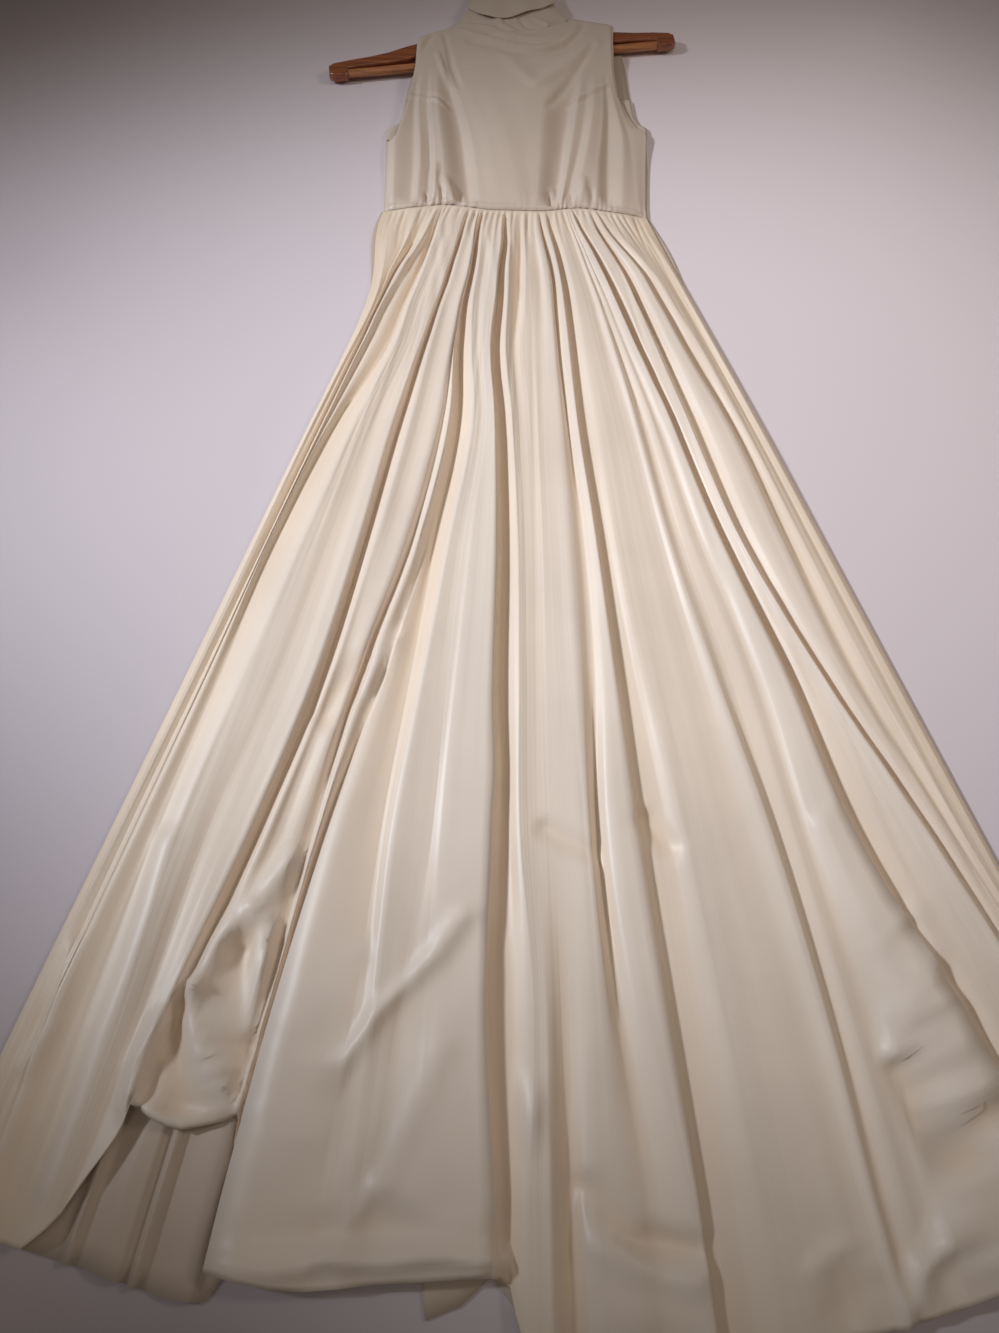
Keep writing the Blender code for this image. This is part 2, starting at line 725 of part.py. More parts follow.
def centre_on_footprint():
    """Move everything so that the middle of its footprint is the origin."""
    bpy.context.view_layer.update()
    graph = bpy.context.evaluated_depsgraph_get()
    objects = bpy.data.collections["maxi_dress"].objects
    points = []
    for obj in objects:
        shape = obj.evaluated_get(graph)
        points += [obj.matrix_world @ vert.co for vert in shape.to_mesh().vertices]
        shape.to_mesh_clear()
    across = [point.x for point in points]
    along = [point.y for point in points]
    middle = Vector(((min(across) + max(across)) / 2, (min(along) + max(along)) / 2, 0))
    for obj in objects:
        obj.location -= middle


def main():
    for obj in list(bpy.data.objects):
        bpy.data.objects.remove(obj, do_unlink=True)
    bpy.context.scene.collection.children.link(bpy.data.collections.new("maxi_dress"))
    build_skirt()
    build_bodice()
    build_facing("armhole_facing_left", False)
    build_facing("armhole_facing_right", True)
    build_collar()
    build_hanger()
    build_wire("hanger_bar", [(-BAR_HALF, BAR_DROP), (BAR_HALF, BAR_DROP)], BAR_RADIUS, BAR_FINISH)
    build_wire("hanger_hook", hook_route(), HOOK_RADIUS, STEEL_FINISH)
    centre_on_footprint()


main()
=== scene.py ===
"""The looks of a sleeveless maxi dress that lies face up on a pale floor, its wooden hanger inside.

The dress is drawn from the middle of its waist seam: +X to the right, +Y to the neck, +Z up.
The place of that point comes from the hanger bar's box in model.glb, so every piece lies where its CAD node
does.
"""

import math

import bpy
import numpy as np
from bpy.props import FloatProperty, FloatVectorProperty, IntProperty, PointerProperty
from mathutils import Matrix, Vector, noise


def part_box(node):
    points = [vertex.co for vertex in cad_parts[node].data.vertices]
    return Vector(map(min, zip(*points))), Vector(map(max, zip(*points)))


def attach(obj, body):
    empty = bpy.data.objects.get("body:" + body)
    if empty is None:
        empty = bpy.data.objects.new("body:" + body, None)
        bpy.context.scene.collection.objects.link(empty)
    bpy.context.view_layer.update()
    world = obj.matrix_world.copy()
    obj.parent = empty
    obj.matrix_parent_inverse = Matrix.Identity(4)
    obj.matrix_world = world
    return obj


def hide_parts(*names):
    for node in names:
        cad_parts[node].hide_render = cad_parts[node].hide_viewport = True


bl_info = {
    "name": "Maxi dress laid flat",
    "version": (1, 0, 0),
    "blender": (4, 5, 0),
    "location": "View3D > Sidebar > Maxi dress",
    "description": "Cloth, hanger and stage of a sleeveless maxi dress that lies on a floor",
    "category": "Object",
}

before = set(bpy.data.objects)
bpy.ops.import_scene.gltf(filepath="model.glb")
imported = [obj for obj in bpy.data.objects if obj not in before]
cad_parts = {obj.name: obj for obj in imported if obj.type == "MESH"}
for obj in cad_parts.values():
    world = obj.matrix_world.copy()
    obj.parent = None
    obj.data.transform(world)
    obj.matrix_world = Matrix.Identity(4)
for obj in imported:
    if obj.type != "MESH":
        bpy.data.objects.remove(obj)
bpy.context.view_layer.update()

MM = 0.001
CAD_WALL = 0.0018
SEAM_GAP = 0.0003
BACK_TOP = CAD_WALL
FRONT_LOW = 2 * CAD_WALL + SEAM_GAP

# The hanger
HANGER_CENTRE = (-0.0156, 0.249)
HANGER_TILT = math.radians(7.4)
HANGER_LOW = BACK_TOP + 0.0008
HANGER_THICK = 0.0121
BAR_DROP = -0.0058
# Its outline: distance from its middle, upper edge and lower edge, in millimetres
HANGER_EDGE = (
    (0, 62, 34),
    (12, 62, 33),
    (22, 49, 31),
    (44, 44.5, 26),
    (65, 39, 20),
    (88, 36, 14),
    (104, 31.5, 9),
    (120, 28, 5),
    (145, 20, 1),
    (170, 15.5, 0.5),
    (198, 12.5, 0.2),
    (198.5, 12.2, -12.5),
    (216, 9.5, -12.5),
    (222, 5, -8),
)

# The skirt's outline
SKIRT_TOP_LEFT = -0.1214
SKIRT_TOP_RIGHT = 0.154
LEFT_FLARE = 0.3415
RIGHT_FLARE = 0.355
HIP_BULGE = 0.0366
HIP_DEPTH = 0.09
BACK_PEEK = 0.006
BACK_PEEK_AT = 0.05
BACK_PEEK_REACH = 0.09
WAIST_LEFT = -0.0045
WAIST_DROP = 0.0105
# Where the bust's gathers lift the seam: share across, reach and rise
WAIST_BUMPS = ((0.25, 0.18, 0.006), (0.75, 0.16, 0.006))
WAIST_FADE = 0.4
WAIST_HEIGHT = 0.0095
SIDE_ROUND = 0.12
# How far below the seam the folds, their relief in the seam, and the gathers reach full height
FOLD_START = 0.075
SEAM_START = 0.012
GATHER_START = 0.007
# The height that counts as level for the folds' relief in the seam
FOLD_MIDDLE = 0.011

# Distances below the waist seam, in millimetres, at which creases and their heights are given
CREASE_LEVELS = (0, 45, 95, 145, 195, 295, 445, 595, 745, 895, 1045)
HEIGHT_LEVELS = (95, 295, 545, 795, 1025)

# One row for each crease of the skirt front, from the left side seam to the right one: places in
# thousandths of the way across at the crease levels, heights in millimetres at the height
# levels, and how far the crease leans over to the right for its height.
FRONT_CREASES = (
    ("left_edge", (0, 0, 0, 0, 0, 0, 0, 0, 0, 0, 0), (3.9, 3.9, 3.9, 3.9, 3.9), 0),
    ("left_roll", (50, 42, 33, 26, 18, 13, 12, 12, 10, 8, 12), (8, 10, 9, 9, 8), 0),
    ("tuck", (103, 99, 50, 33, 23, 18, 17, 16, 14, 12, 20), (5, 8, 9, 9, 8), 0),
    ("tuck_lip", (138, 114, 60, 38, 28, 23, 20, 19, 17, 17, 25), (11, 8, 8, 8.5, 8), 0),
    ("first_gold", (178, 138, 69, 42, 34, 28, 25, 24, 22, 24, 30), (4, 4, 6, 8, 7), 0),
    ("bright_roll", (212, 170, 92, 51, 43, 36, 30, 29, 27, 28, 36), (15, 12, 10, 10, 9), 0.2),
    ("gold_fold", (222, 184, 116, 72, 60, 42, 32, 32, 31, 30, 41), (9.5, 7, 8, 9, 8.5), 0),
    ("gold_ridge", (227, 190, 132, 90, 76, 49, 34, 37, 35, 32, 46), (8.5, 11, 11, 11, 10), 0.1),
    ("second_gold", (232, 199, 152, 119, 112, 64, 42, 47, 48, 50, 60), (3.9, 4.5, 7, 9, 7.5), 0),
    ("cool_foot", (237, 206, 160, 127, 120, 88, 62, 60, 59, 68, 76), (13, 9, 9, 9, 8), 0),
    ("cool_crest", (246, 216, 172, 141, 136, 112, 96, 87, 82, 96, 100), (16, 15, 16, 17, 17), 0),
    ("faint_dip", (272, 238, 196, 164, 158, 132, 122, 114, 102, 109, 111), (14, 13.5, 15, 15, 16), 0),
    ("beige_face", (290, 258, 214, 182, 174, 148, 140, 134, 118, 119, 120), (15, 12, 13, 12, 14), 0),
    ("panel_edge", (324, 289, 242, 213, 200, 188, 189, 184, 163, 138, 136), (14, 15, 17, 16, 20), 0.2),
    ("edge_trough", (333, 297, 252, 224, 212, 202, 199, 192, 172, 150, 146), (5, 4.5, 3.9, 4, 9), 0),
    ("inner_crest", (345, 311, 267, 238, 227, 224, 218, 208, 186, 160, 154), (15, 16, 15, 14, 13), 0),
    ("inner_flat", (357, 327, 290, 262, 254, 252, 236, 218, 196, 180, 172), (13.5, 14, 13, 10, 11), 0),
    ("inner_edge", (368, 339, 308, 284, 281, 283, 268, 238, 218, 214, 208), (16, 16, 16, 13, 12), 0.3),
    ("fork_trough", (373, 345, 314, 290, 287, 298, 283, 246, 236, 230, 226), (12, 12, 7, 7, 9), 0),
    ("fork_crest", (376, 348, 317, 293, 291, 311, 296, 259, 243, 235, 230), (15, 17, 17, 15, 12), 0),
    ("side_trough", (379, 351, 320, 295, 295, 317, 308, 278, 249, 239, 234), (9, 9, 9, 6, 6), 0),
    ("side_edge", (382, 354, 323, 298, 299, 321, 314, 288, 258, 244, 240), (5, 6, 10, 17, 21), -0.2),
    ("deep_left", (385, 357, 326, 304, 306, 329, 319, 315, 311, 314, 312), (3.9, 3.9, 5, 10, 16), 0),
    ("deep_slope", (389, 362, 332, 312, 319, 345, 334, 325, 318, 324, 324), (11, 10, 8, 11, 17), 0),
    ("left_shoulder", (397, 371, 343, 325, 332, 362, 347, 335, 326, 334, 338), (16, 17, 17, 18, 18), 0),
    ("soft_dip", (422, 394, 360, 344, 350, 380, 369, 368, 371, 362, 356), (14, 16, 15, 14, 15), 0),
    ("light_crest", (438, 414, 384, 366, 366, 394, 388, 384, 382, 392, 394), (17, 18, 18, 18, 19), 0),
    ("centre_edge", (459, 438, 403, 388, 382, 405, 425, 430, 436, 437, 450), (17, 19, 20, 20, 18), 0.15),
    ("centre_trough", (468, 448, 411, 395, 389, 414, 433, 438, 445, 444, 458), (4, 3.9, 3.9, 4.5, 5), 0),
    ("trough_rise", (476, 456, 422, 412, 408, 430, 446, 451, 458, 462, 466), (8, 8, 7, 7, 7), 0),
    ("right_lip", (488, 470, 440, 427, 424, 446, 464, 468, 470, 485, 480), (16, 16, 16, 17, 16), 0),
    ("split_trough", (524, 507, 481, 462, 451, 464, 478, 481, 482, 491, 489), (6.5, 13, 14, 16, 16.5), 0),
    ("centre_flat", (536, 518, 494, 477, 468, 484, 494, 492, 492, 498, 497), (15, 14.5, 14, 15, 17), 0),
    ("hem_trough", (573, 556, 542, 527, 520, 513, 513, 512, 512, 512, 514), (12, 14, 15, 14, 4), 0),
    ("hem_crest", (579, 566, 554, 545, 540, 536, 532, 531, 540, 537, 525), (16, 16, 16, 17, 17), 0),
    ("kink_line", (586, 579, 572, 562, 558, 558, 555, 552, 550, 554, 558), (16, 16, 17, 17, 16), 0),
    ("slim_trough", (593, 588, 583, 571, 567, 570, 577, 571, 560, 565, 577), (7, 9, 9, 6, 11), 0),
    ("slim_crest", (604, 600, 594, 584, 580, 582, 590, 588, 573, 583, 606), (15, 15, 16, 17, 17), 0),
    ("post_crest", (616, 609, 602, 595, 592, 589, 597, 600, 603, 608, 613), (16, 17, 18, 17, 17), 0.1),
    ("band_trough", (622, 616, 610, 602, 599, 596, 604, 608, 611, 614, 617), (5.5, 6, 6, 8, 9), 0),
    ("band_mid", (634, 630, 624, 619, 616, 616, 620, 627, 636, 636, 640), (10, 10, 10, 11, 11), 0),
    ("band_lip", (648, 642, 636, 632, 630, 634, 634, 642, 655, 658, 660), (15, 15, 15, 16, 15), 0),
    ("right_flat", (668, 664, 660, 662, 664, 670, 668, 672, 682, 688, 692), (14, 15, 14, 15, 14), 0),
    ("bright_foot", (684, 684, 682, 686, 692, 706, 712, 722, 727, 738, 743), (13, 14, 14, 14, 12), 0),
    ("bright_crest", (690, 692, 692, 700, 706, 716, 721, 737, 755, 757, 752), (16, 17, 18, 18, 17), 0),
    ("second_band", (695, 699, 701, 710, 718, 734, 741, 754, 762, 767, 762), (13, 11, 11, 10, 10), 0),
    ("second_lip", (700, 704, 709, 722, 732, 752, 762, 781, 782, 779, 775), (15, 15, 15, 15, 15), 0),
    ("second_dip", (704, 708, 714, 728, 740, 764, 778, 797, 796, 796, 790), (14, 13, 13, 12, 13), 0),
    ("second_rise", (707, 711, 719, 735, 747, 775, 792, 812, 806, 815, 805), (16, 17, 18, 17, 16), 0),
    ("fan_edge", (712, 716, 730, 743, 757, 786, 806, 834, 846, 884, 912), (18, 19, 20, 18, 15), 0.15),
    ("fan_trough", (719, 728, 750, 763, 776, 795, 814, 843, 853, 890, 922), (3.9, 4.5, 3.9, 6, 8), 0),
    ("fan_lip", (730, 743, 764, 781, 790, 811, 829, 861, 880, 908, 934), (14, 14, 13, 13, 12), 0),
    ("thin_crest", (772, 777, 800, 809, 816, 828, 842, 884, 929, 958, 966), (16, 17, 18, 17, 12), 0.1),
    ("thin_trough", (786, 790, 815, 828, 838, 848, 854, 890, 938, 966, 974), (4.5, 6, 5, 8, 10), 0),
    ("wide_crest", (798, 808, 842, 854, 862, 880, 884, 906, 948, 973, 980), (15, 16, 16, 12, 9.5), 0),
    ("wide_flat", (803, 820, 864, 877, 888, 912, 916, 922, 957, 979, 985), (16, 16, 15, 11, 9), 0.1),
    ("side_fold", (808, 828, 873, 887, 903, 929, 935, 941, 966, 984, 988), (5.5, 6, 8, 9, 8.6), 0),
    ("last_crest", (832, 866, 912, 926, 940, 951, 956, 960, 975, 989, 992), (13, 12, 12, 10, 8), 0),
    ("last_trough", (925, 950, 960, 968, 972, 975, 976, 979, 984, 992, 995), (6, 7, 8, 8, 7.4), 0),
    ("right_roll", (968, 977, 984, 986, 987, 988, 989, 991, 993, 996, 998), (8, 9, 8, 7, 6), 0),
    ("right_edge", (1000,) * 11, (3.9, 3.9, 3.9, 3.9, 3.9), 0),
)

# The small gathers that end soon below the seam: thousandths across at the seam and 60 mm
# below it, millimetres down to where they end, depth in millimetres
GATHERS = (
    ("side_one", 40, 40, 34, 2.4),
    ("side_two", 62, 54, 40, 1.8),
    ("side_three", 87, 74, 66, 2.4),
    ("side_four", 151, 134, 34, 2.0),
    ("roll_one", 196, 150, 46, 1.6),
    ("gold_one", 246, 203, 60, 2.4),
    ("gold_two", 264, 218, 48, 2.2),
    ("panel_one", 298, 258, 40, 1.6),
    ("left_one", 356, 323, 90, 2.8),
    ("left_two", 407, 366, 70, 2.4),
    ("left_three", 428, 396, 86, 2.8),
    ("left_four", 450, 415, 100, 3.0),
    ("middle_one", 497, 466, 100, 2.2),
    ("middle_two", 552, 524, 110, 2.8),
    ("middle_three", 640, 628, 46, 1.6),
    ("right_one", 661, 648, 76, 2.2),
    ("right_two", 681, 690, 78, 3.0),
    ("right_three", 741, 712, 44, 2.4),
    ("right_four", 762, 752, 40, 2.2),
    ("right_five", 846, 852, 40, 2.0),
    ("right_six", 866, 880, 50, 3.2),
    ("side_five", 888, 918, 76, 2.6),
    ("side_six", 912, 934, 84, 2.4),
    ("side_seven", 952, 936, 84, 2.6),
    ("side_eight", 967, 962, 60, 2.2),
)
GATHER_AT = 60

# How the grid's rows are spread: share of the rows, share of the way down
ROW_SPREAD = ((0, 0.12, 0.47, 1), (0, 0.05, 0.62, 1))
# Columns between two creases: one for so many thousandths across at the seam, and the fewest
COLUMN_PITCH = 4.4
LEAST_COLUMNS = 3
FRONT_ROWS = 176
# Columns and rows of the flat back
BACK_GRID = (320, 60)

# Where the lower edges lie: thousandths across, millimetres below the waist seam
FRONT_HEM = (
    (0, 1063),
    (91, 1084),
    (119, 1058),
    (134, 1003),
    (139, 978),
    (160, 990),
    (182, 999),
    (222, 991),
    (231, 986),
    (240, 1098),
    (300, 1113),
    (380, 1106),
    (450, 1102),
    (466, 1110),
    (474, 1144),
    (600, 1152),
    (700, 1144),
    (750, 1137),
    (830, 1113),
    (900, 1093),
    (1000, 1050),
)
BACK_HEM = (
    (0, 1060),
    (100, 1088),
    (150, 1100),
    (205, 1117),
    (240, 1122),
    (252, 1100),
    (262, 1086),
    (396, 1086),
    (404, 1134),
    (430, 1124),
    (452, 1104),
    (470, 1126),
    (600, 1138),
    (750, 1124),
    (1000, 1045),
)

# Where the cloth is pulled sideways: thousandths across, millimetres below the waist seam, half
# width in thousandths, half length in millimetres, thousandths moved to the right
FRONT_PULLS = (
    ("corner", 128, 1068, 26, 75, -8),
    ("fork_kink", 262, 600, 30, 42, 5),
    ("centre_kink", 440, 690, 26, 60, 3),
)

# Short creases and dents along a path: thousandths across and millimetres below the waist seam
# at each point, half width and height in millimetres. A height below zero is a dent. On the
# cloth each is wider by RIDGE_SPREAD.
RIDGE_SPREAD = 1.25
FRONT_RIDGES = (
    ("pouch_rim", ((222, 775), (194, 816), (171, 851), (161, 885)), 16, 10),
    ("pouch_curve", ((161, 885), (167, 912), (186, 938), (226, 978)), 12, 9),
    ("pouch_lobe", ((138, 917), (132, 950), (141, 976), (172, 990)), 14, 8),
    ("pouch_valley", ((152, 905), (160, 938), (178, 978)), 12, -8),
    ("pouch_stripe", ((192, 818), (214, 831), (221, 859), (223, 889), (225, 920)), 9, 7),
    ("pouch_hollow", ((190, 855), (202, 885), (214, 930)), 18, -9),
    ("pouch_dark", ((232, 850), (230, 890), (227, 940)), 7, -3),
    ("pouch_lip", ((136, 972), (179, 994), (228, 983)), 9, 3),
    ("left_panel", ((75, 761), (86, 816), (89, 876), (88, 926), (95, 981), (96, 1040)), 16, 3.5),
    ("left_small", ((20, 851), (37, 917), (31, 949)), 12, 3.5),
    ("diagonal", ((414, 825), (389, 859), (341, 905), (309, 957), (288, 1003), (272, 1060)), 11, 6.5),
    ("diagonal_shade", ((424, 850), (392, 892), (352, 938), (328, 985), (306, 1030)), 22, -2),
    ("diagonal_small", ((312, 855), (294, 885), (277, 917)), 14, 4),
    ("kink_up", ((402, 935), (380, 990), (361, 1037)), 13, 3.5),
    ("kink_left", ((361, 1037), (341, 1065)), 12, 3),
    ("kink_right", ((361, 1037), (387, 1055), (428, 1069)), 13, 3.5),
    ("hem_roll", ((262, 1096), (294, 1096), (329, 1088), (368, 1091), (410, 1085), (456, 1091)), 13, 11),
    ("hem_hollow", ((300, 1072), (345, 1066), (400, 1062)), 16, -3),
    ("hem_arc", ((527, 1040), (560, 1075), (606, 1083)), 14, -7),
    ("hem_arc_lip", ((532, 1078), (562, 1098), (602, 1106)), 14, 5),
    ("break_left", ((502, 750), (550, 772)), 12, -4),
    ("break_right", ((618, 740), (640, 765)), 14, -5),
    ("main_line", ((817, 742), (822, 800), (834, 841), (831, 880), (808, 940)), 11, 7),
    ("main_shade", ((808, 950), (812, 989), (818, 1024), (820, 1044)), 12, -7),
    ("star_right", ((808, 941), (846, 945)), 10, 4),
    ("star_shade", ((818, 920), (848, 928)), 12, -2),
    ("ridge_down", ((849, 975), (830, 1010), (824, 1041), (797, 1077)), 15, 7),
    ("scoop", ((843, 1018), (852, 1002), (870, 990)), 17, -11),
    ("scoop_lip", ((845, 972), (869, 966), (892, 966)), 12, 8),
    ("lump", ((845, 899), (874, 903), (864, 950)), 18, 7),
    ("tongue", ((879, 825), (883, 858), (862, 884), (841, 876)), 15, 5),
    ("tongue_shade", ((867, 838), (861, 864)), 10, -4),
    ("bottom_roll", ((762, 1122), (773, 1098), (801, 1079), (833, 1090), (862, 1083)), 14, 8),
    ("comma", ((721, 1095), (720, 1108), (709, 1126)), 15, -5),
    ("comma_top", ((696, 1098), (719, 1082), (736, 1098)), 11, 5),
    ("fork_kink", ((262, 605), (290, 560)), 12, 4),
    ("small_kink", ((215, 640), (240, 590)), 16, -5),
)

# Soft swellings: thousandths across, millimetres below the waist seam, half width in
# thousandths, half length and height in millimetres
FRONT_PUFFS = (
    ("pouch", 196, 915, 52, 95, 9),
    ("centre_break", 483, 985, 16, 40, 6),
    ("hem_swell", 570, 1125, 42, 30, 4),
    ("right_pinch", 850, 905, 34, 60, 5),
    ("right_pocket", 870, 1010, 32, 60, 4),
)

# Soft ripples of the front: number across the skirt and to the metre down, share of the height,
# step of the seed. They end a little before the side seams and the waist seam.
FRONT_RIPPLES = ((42, 2.6, 1, 0), (110, 3.5, 0.6, 9))
RIPPLE_EDGE = 0.03
RIPPLE_TOP = 0.06

# The back's pleats that lie open below the pouch: thousandths across where they
# start and at the hem, height in millimetres
BACK_PLEATS = (
    ("first_low", 136, 118, 0),
    ("first_high", 143, 129, 7),
    ("second_low", 148, 133, 0.3),
    ("second_high", 168, 160, 7.5),
    ("second_flat", 178, 171, 7.5),
    ("third_low", 184, 177, 0.8),
    ("third_high", 196, 184, 8),
    ("fourth_low", 202, 189, 0.3),
    ("fourth_high", 218, 228, 6.5),
    ("last_low", 230, 238, 0),
)
BACK_PLEAT_TOP = 900
BACK_PLEAT_FULL = 1000
# How far the front keeps above them, for their height
PLEAT_LIFT = 1.2

# The bodice: sides of the two panels, in millimetres above the waist seam, left and right edge
FRONT_SIDES = (
    (0, -156, 154),
    (60, -156.5, 157.5),
    (104, -157, 161),
    (108, -149, 161.5),
    (117, -146, 161),
    (125, -143.5, 150),
    (142, -139, 141),
    (178, -132, 128.5),
    (222, -126, 124.5),
    (268, -125, 125),
    (310, -116, 128),
)
BACK_SIDES = (
    (0, -158, 156),
    (60, -159, 160),
    (106, -160, 161),
    (120, -160.5, 163),
    (130, -157, 162),
    (136, -146, 152),
    (150, -142, 147),
    (196, -137, 142.5),
    (236, -128.5, 140.5),
    (268, -127, 136),
    (310, -118, 130),
)
BODICE_LEVELS = (0, 30, 60, 100, 150, 190, 230, 277)
BODICE_HEIGHT_LEVELS = (20, 85, 150, 215)

# One row for each crease of the bodice front: places in millimetres from the middle at the
# eight levels, heights in millimetres over the lowest cloth at the four levels
BODICE_CREASES = (
    ("side_roll", (-146, -147, -147, -147, -135, -129, -122, -120), (4, 5, 5, 2)),
    ("side_hollow", (-126, -126, -125, -125, -126, -124, -118, -116), (0.8, 1.5, 3, 2)),
    ("side_pleat", (-117, -117, -116, -117, -120, -118, -113, -112), (5, 5.5, 5, 2)),
    ("dart_hollow", (-105, -104, -104, -106, -110, -110, -108, -107), (1.5, 2, 3.5, 2)),
    ("dart_panel", (-96, -96, -97, -99, -103, -104, -104, -104), (9, 8.5, 7, 2)),
    ("dart_edge", (-82, -85, -87, -91, -96, -98, -100, -101), (9.5, 9.5, 8, 2)),
    ("left_valley", (-57, -59, -62, -66, -75, -84, -91, -96), (0.5, 0.2, 0.5, 2)),
    ("left_fan", (-43, -45, -48, -54, -65, -76, -86, -92), (6.5, 7, 7, 2)),
    ("centre_left", (-18, -21, -25, -33, -48, -62, -72, -80), (8.5, 9, 9, 2)),
    ("fan_line", (4, 0, -4, -11, -25, -38, -53, -65), (9.5, 10, 10, 2)),
    ("centre", (18, 16, 14, 11, 6, 1, -6, -12), (8.5, 9, 9.5, 2)),
    ("right_line", (25, 26, 28, 30, 35, 43, 52, 60), (8.5, 9, 9, 2)),
    ("right_valley", (45, 49, 53, 58, 65, 73, 80, 88), (0.2, 0.2, 1, 2)),
    ("right_fan", (53, 58, 63, 69, 76, 82, 87, 94), (6, 6.5, 6.5, 2)),
    ("third_valley", (59, 65, 71, 79, 86, 90, 94, 100), (3.5, 4.5, 5, 2)),
    ("bust_right", (70, 76, 82, 89, 96, 99, 102, 106), (8.5, 9, 7.5, 2)),
    ("bust_far", (95, 96, 98, 103, 107, 108, 109, 110), (8, 7, 6, 2)),
    ("side_valley", (109, 110, 111, 113, 115, 114, 113, 114), (1.5, 2, 3, 2)),
    ("right_pleat", (125, 127, 129, 130, 124, 119, 117, 117), (6, 6, 5, 2)),
    ("right_hollow", (144, 144, 143, 140, 131, 124, 121, 121), (3, 3, 3, 2)),
)

# How high the bodice front lies: millimetres from the hanger's axis, millimetres up
BODICE_RISE = ((-260, 3.9), (-190, 4.5), (-160, 7), (-95, 8), (-50, 11.5), (-22, 17.0), (80, 17.2))

# Lines on the bodice front along a path in millimetres, half width and height in millimetres
BODICE_RIDGES = (
    ("left_dart_shade", ((-130, 178), (-111, 173), (-96, 167), (-84, 160)), 5, -1.6),
    (
        "collar_drape",
        ((-66, 296), (-44, 288), (-16, 277), (8, 268), (36, 266), (58, 272), (78, 290)),
        6,
        2.4,
    ),
    ("collar_shade", ((-62, 288), (-40, 279), (-14, 268), (8, 260), (36, 258), (60, 264)), 6, -3.2),
    (
        "upper_drape",
        ((-72, 284), (-44, 272), (-14, 260), (10, 252), (36, 251), (58, 257), (78, 280)),
        7,
        3.2,
    ),
    (
        "lower_shade",
        ((-58, 262), (-30, 254), (-8, 246), (16, 241), (44, 243), (62, 252), (76, 268), (88, 290)),
        7,
        -3.2,
    ),
    ("point_drape", ((-14, 236), (25, 190), (60, 220), (104, 258)), 12, 3.0),
    ("point_shade", ((8, 234), (30, 222), (48, 230)), 12, -2.2),
    ("shoulder_shade", ((40, 150), (62, 186), (80, 220), (98, 254)), 8, -2.8),
    ("left_wedge", ((-98, 240), (-92, 216), (-82, 188)), 6, 2.6),
    ("left_wedge_shade", ((-84, 244), (-80, 218), (-70, 186)), 7, -2.6),
    ("left_shoulder_shade", ((-106, 272), (-118, 246)), 7, -2.4),
    ("left_neck_shade", ((-90, 274), (-84, 246)), 6, -1.8),
    ("seam_puff_left", ((-98, 54), (-99, 12)), 9, 4.0),
    ("seam_puff_middle", ((-84, 34), (-76, 6)), 9, 4.0),
    ("seam_puff_right", ((80, 32), (78, 6)), 9, 4.0),
    ("seam_puff_far", ((44, 26), (46, 6)), 6, 2.5),
    ("seam_tuck_left", ((-68, 16), (-66, -2)), 4, -3.5),
    ("seam_tuck_side", ((-108, 18), (-106, -2)), 4, -3.2),
    ("seam_tuck_middle", ((-89, 22), (-88, -2)), 3.5, -3.0),
    ("seam_tuck_right", ((38, 16), (41, -4)), 4, -3.5),
    ("seam_tuck_far", ((90, 18), (90, -2)), 4, -3.0),
    ("seam_tuck_last", ((66, 16), (66, -4)), 4, -3.0),
)
# The seams of the two darts, in the same way
BODICE_DARTS = (
    ("left_dart", ((-132, 171), (-112, 167), (-98, 160), (-86, 152)), 4.5, 3.4),
    ("right_dart", ((114, 192), (90, 174), (74, 162), (65, 155)), 4.5, 3.8),
)
# The seam's own ridge on the bodice, and the fine gathers above it
SEAM_RIDGE = 0.0026
SEAM_RIDGE_AT = 0.004
SEAM_RIDGE_HALF = 0.006
SEAM_RIDGE_EDGE = 0.04
SEAM_DIP = 0.0006
SEAM_DIP_REACH = 0.002
SEAM_GATHERS = 44
SEAM_GATHER_HEIGHT = 0.001
SEAM_GATHER_REACH = 0.016
# Where the fine gathers are strongest, share across, and their reach to each side
SEAM_BUNCHES = (0.25, 0.77)
SEAM_BUNCH_REACH = 0.16

# The bodice's grids: rows, columns from crease to crease, how the rows crowd towards the seam,
# and the rows that turn over at the shoulder. The back and the facings have columns and rows.
BODICE_ROWS = 130
BODICE_STEPS = 9
BODICE_ROW_POWER = 1.25
WRAP_ROWS = 6
BODICE_BACK_GRID = (30, 60)
FACING_GRID = (7, 30)
# How sharp its folds are, from 0 for round to 1, and how they start above the seam
BODICE_FACET = 0.4
BODICE_FOLD_START = 0.022
BODICE_RIPPLE = 0.0008
BODICE_RIPPLE_EDGE = 0.02

NECK_DIP = 0.02
BACK_NECK_DIP = 0.005
NECK_CENTRE = -0.004
NECK_HALF = 0.076
NECK_LINE = 0.3
NECK_SLOPE = 0.1
SHOULDER_SLOPE = 0.33
SHOULDER_WRAP = 0.004
SHOULDER_Y = 0.275
WRAP_BLEND = 0.006

FACING_WIDTH = 0.014
FACING_FROM = 0.11
FACING_TO = 0.178

# The collar
COLLAR_X = -0.002
COLLAR_FOLD = 0.3625
COLLAR_FLATNESS = 0.25
STAND_WIDTH = ((275, 78), (300, 74), (320, 62), (345, 48), (367, 43))
STAND_TOP = 0.0175
STAND_LIFT = 0.0027
STAND_LIFT_FROM = 0.322
STAND_LIFT_OVER = 0.01
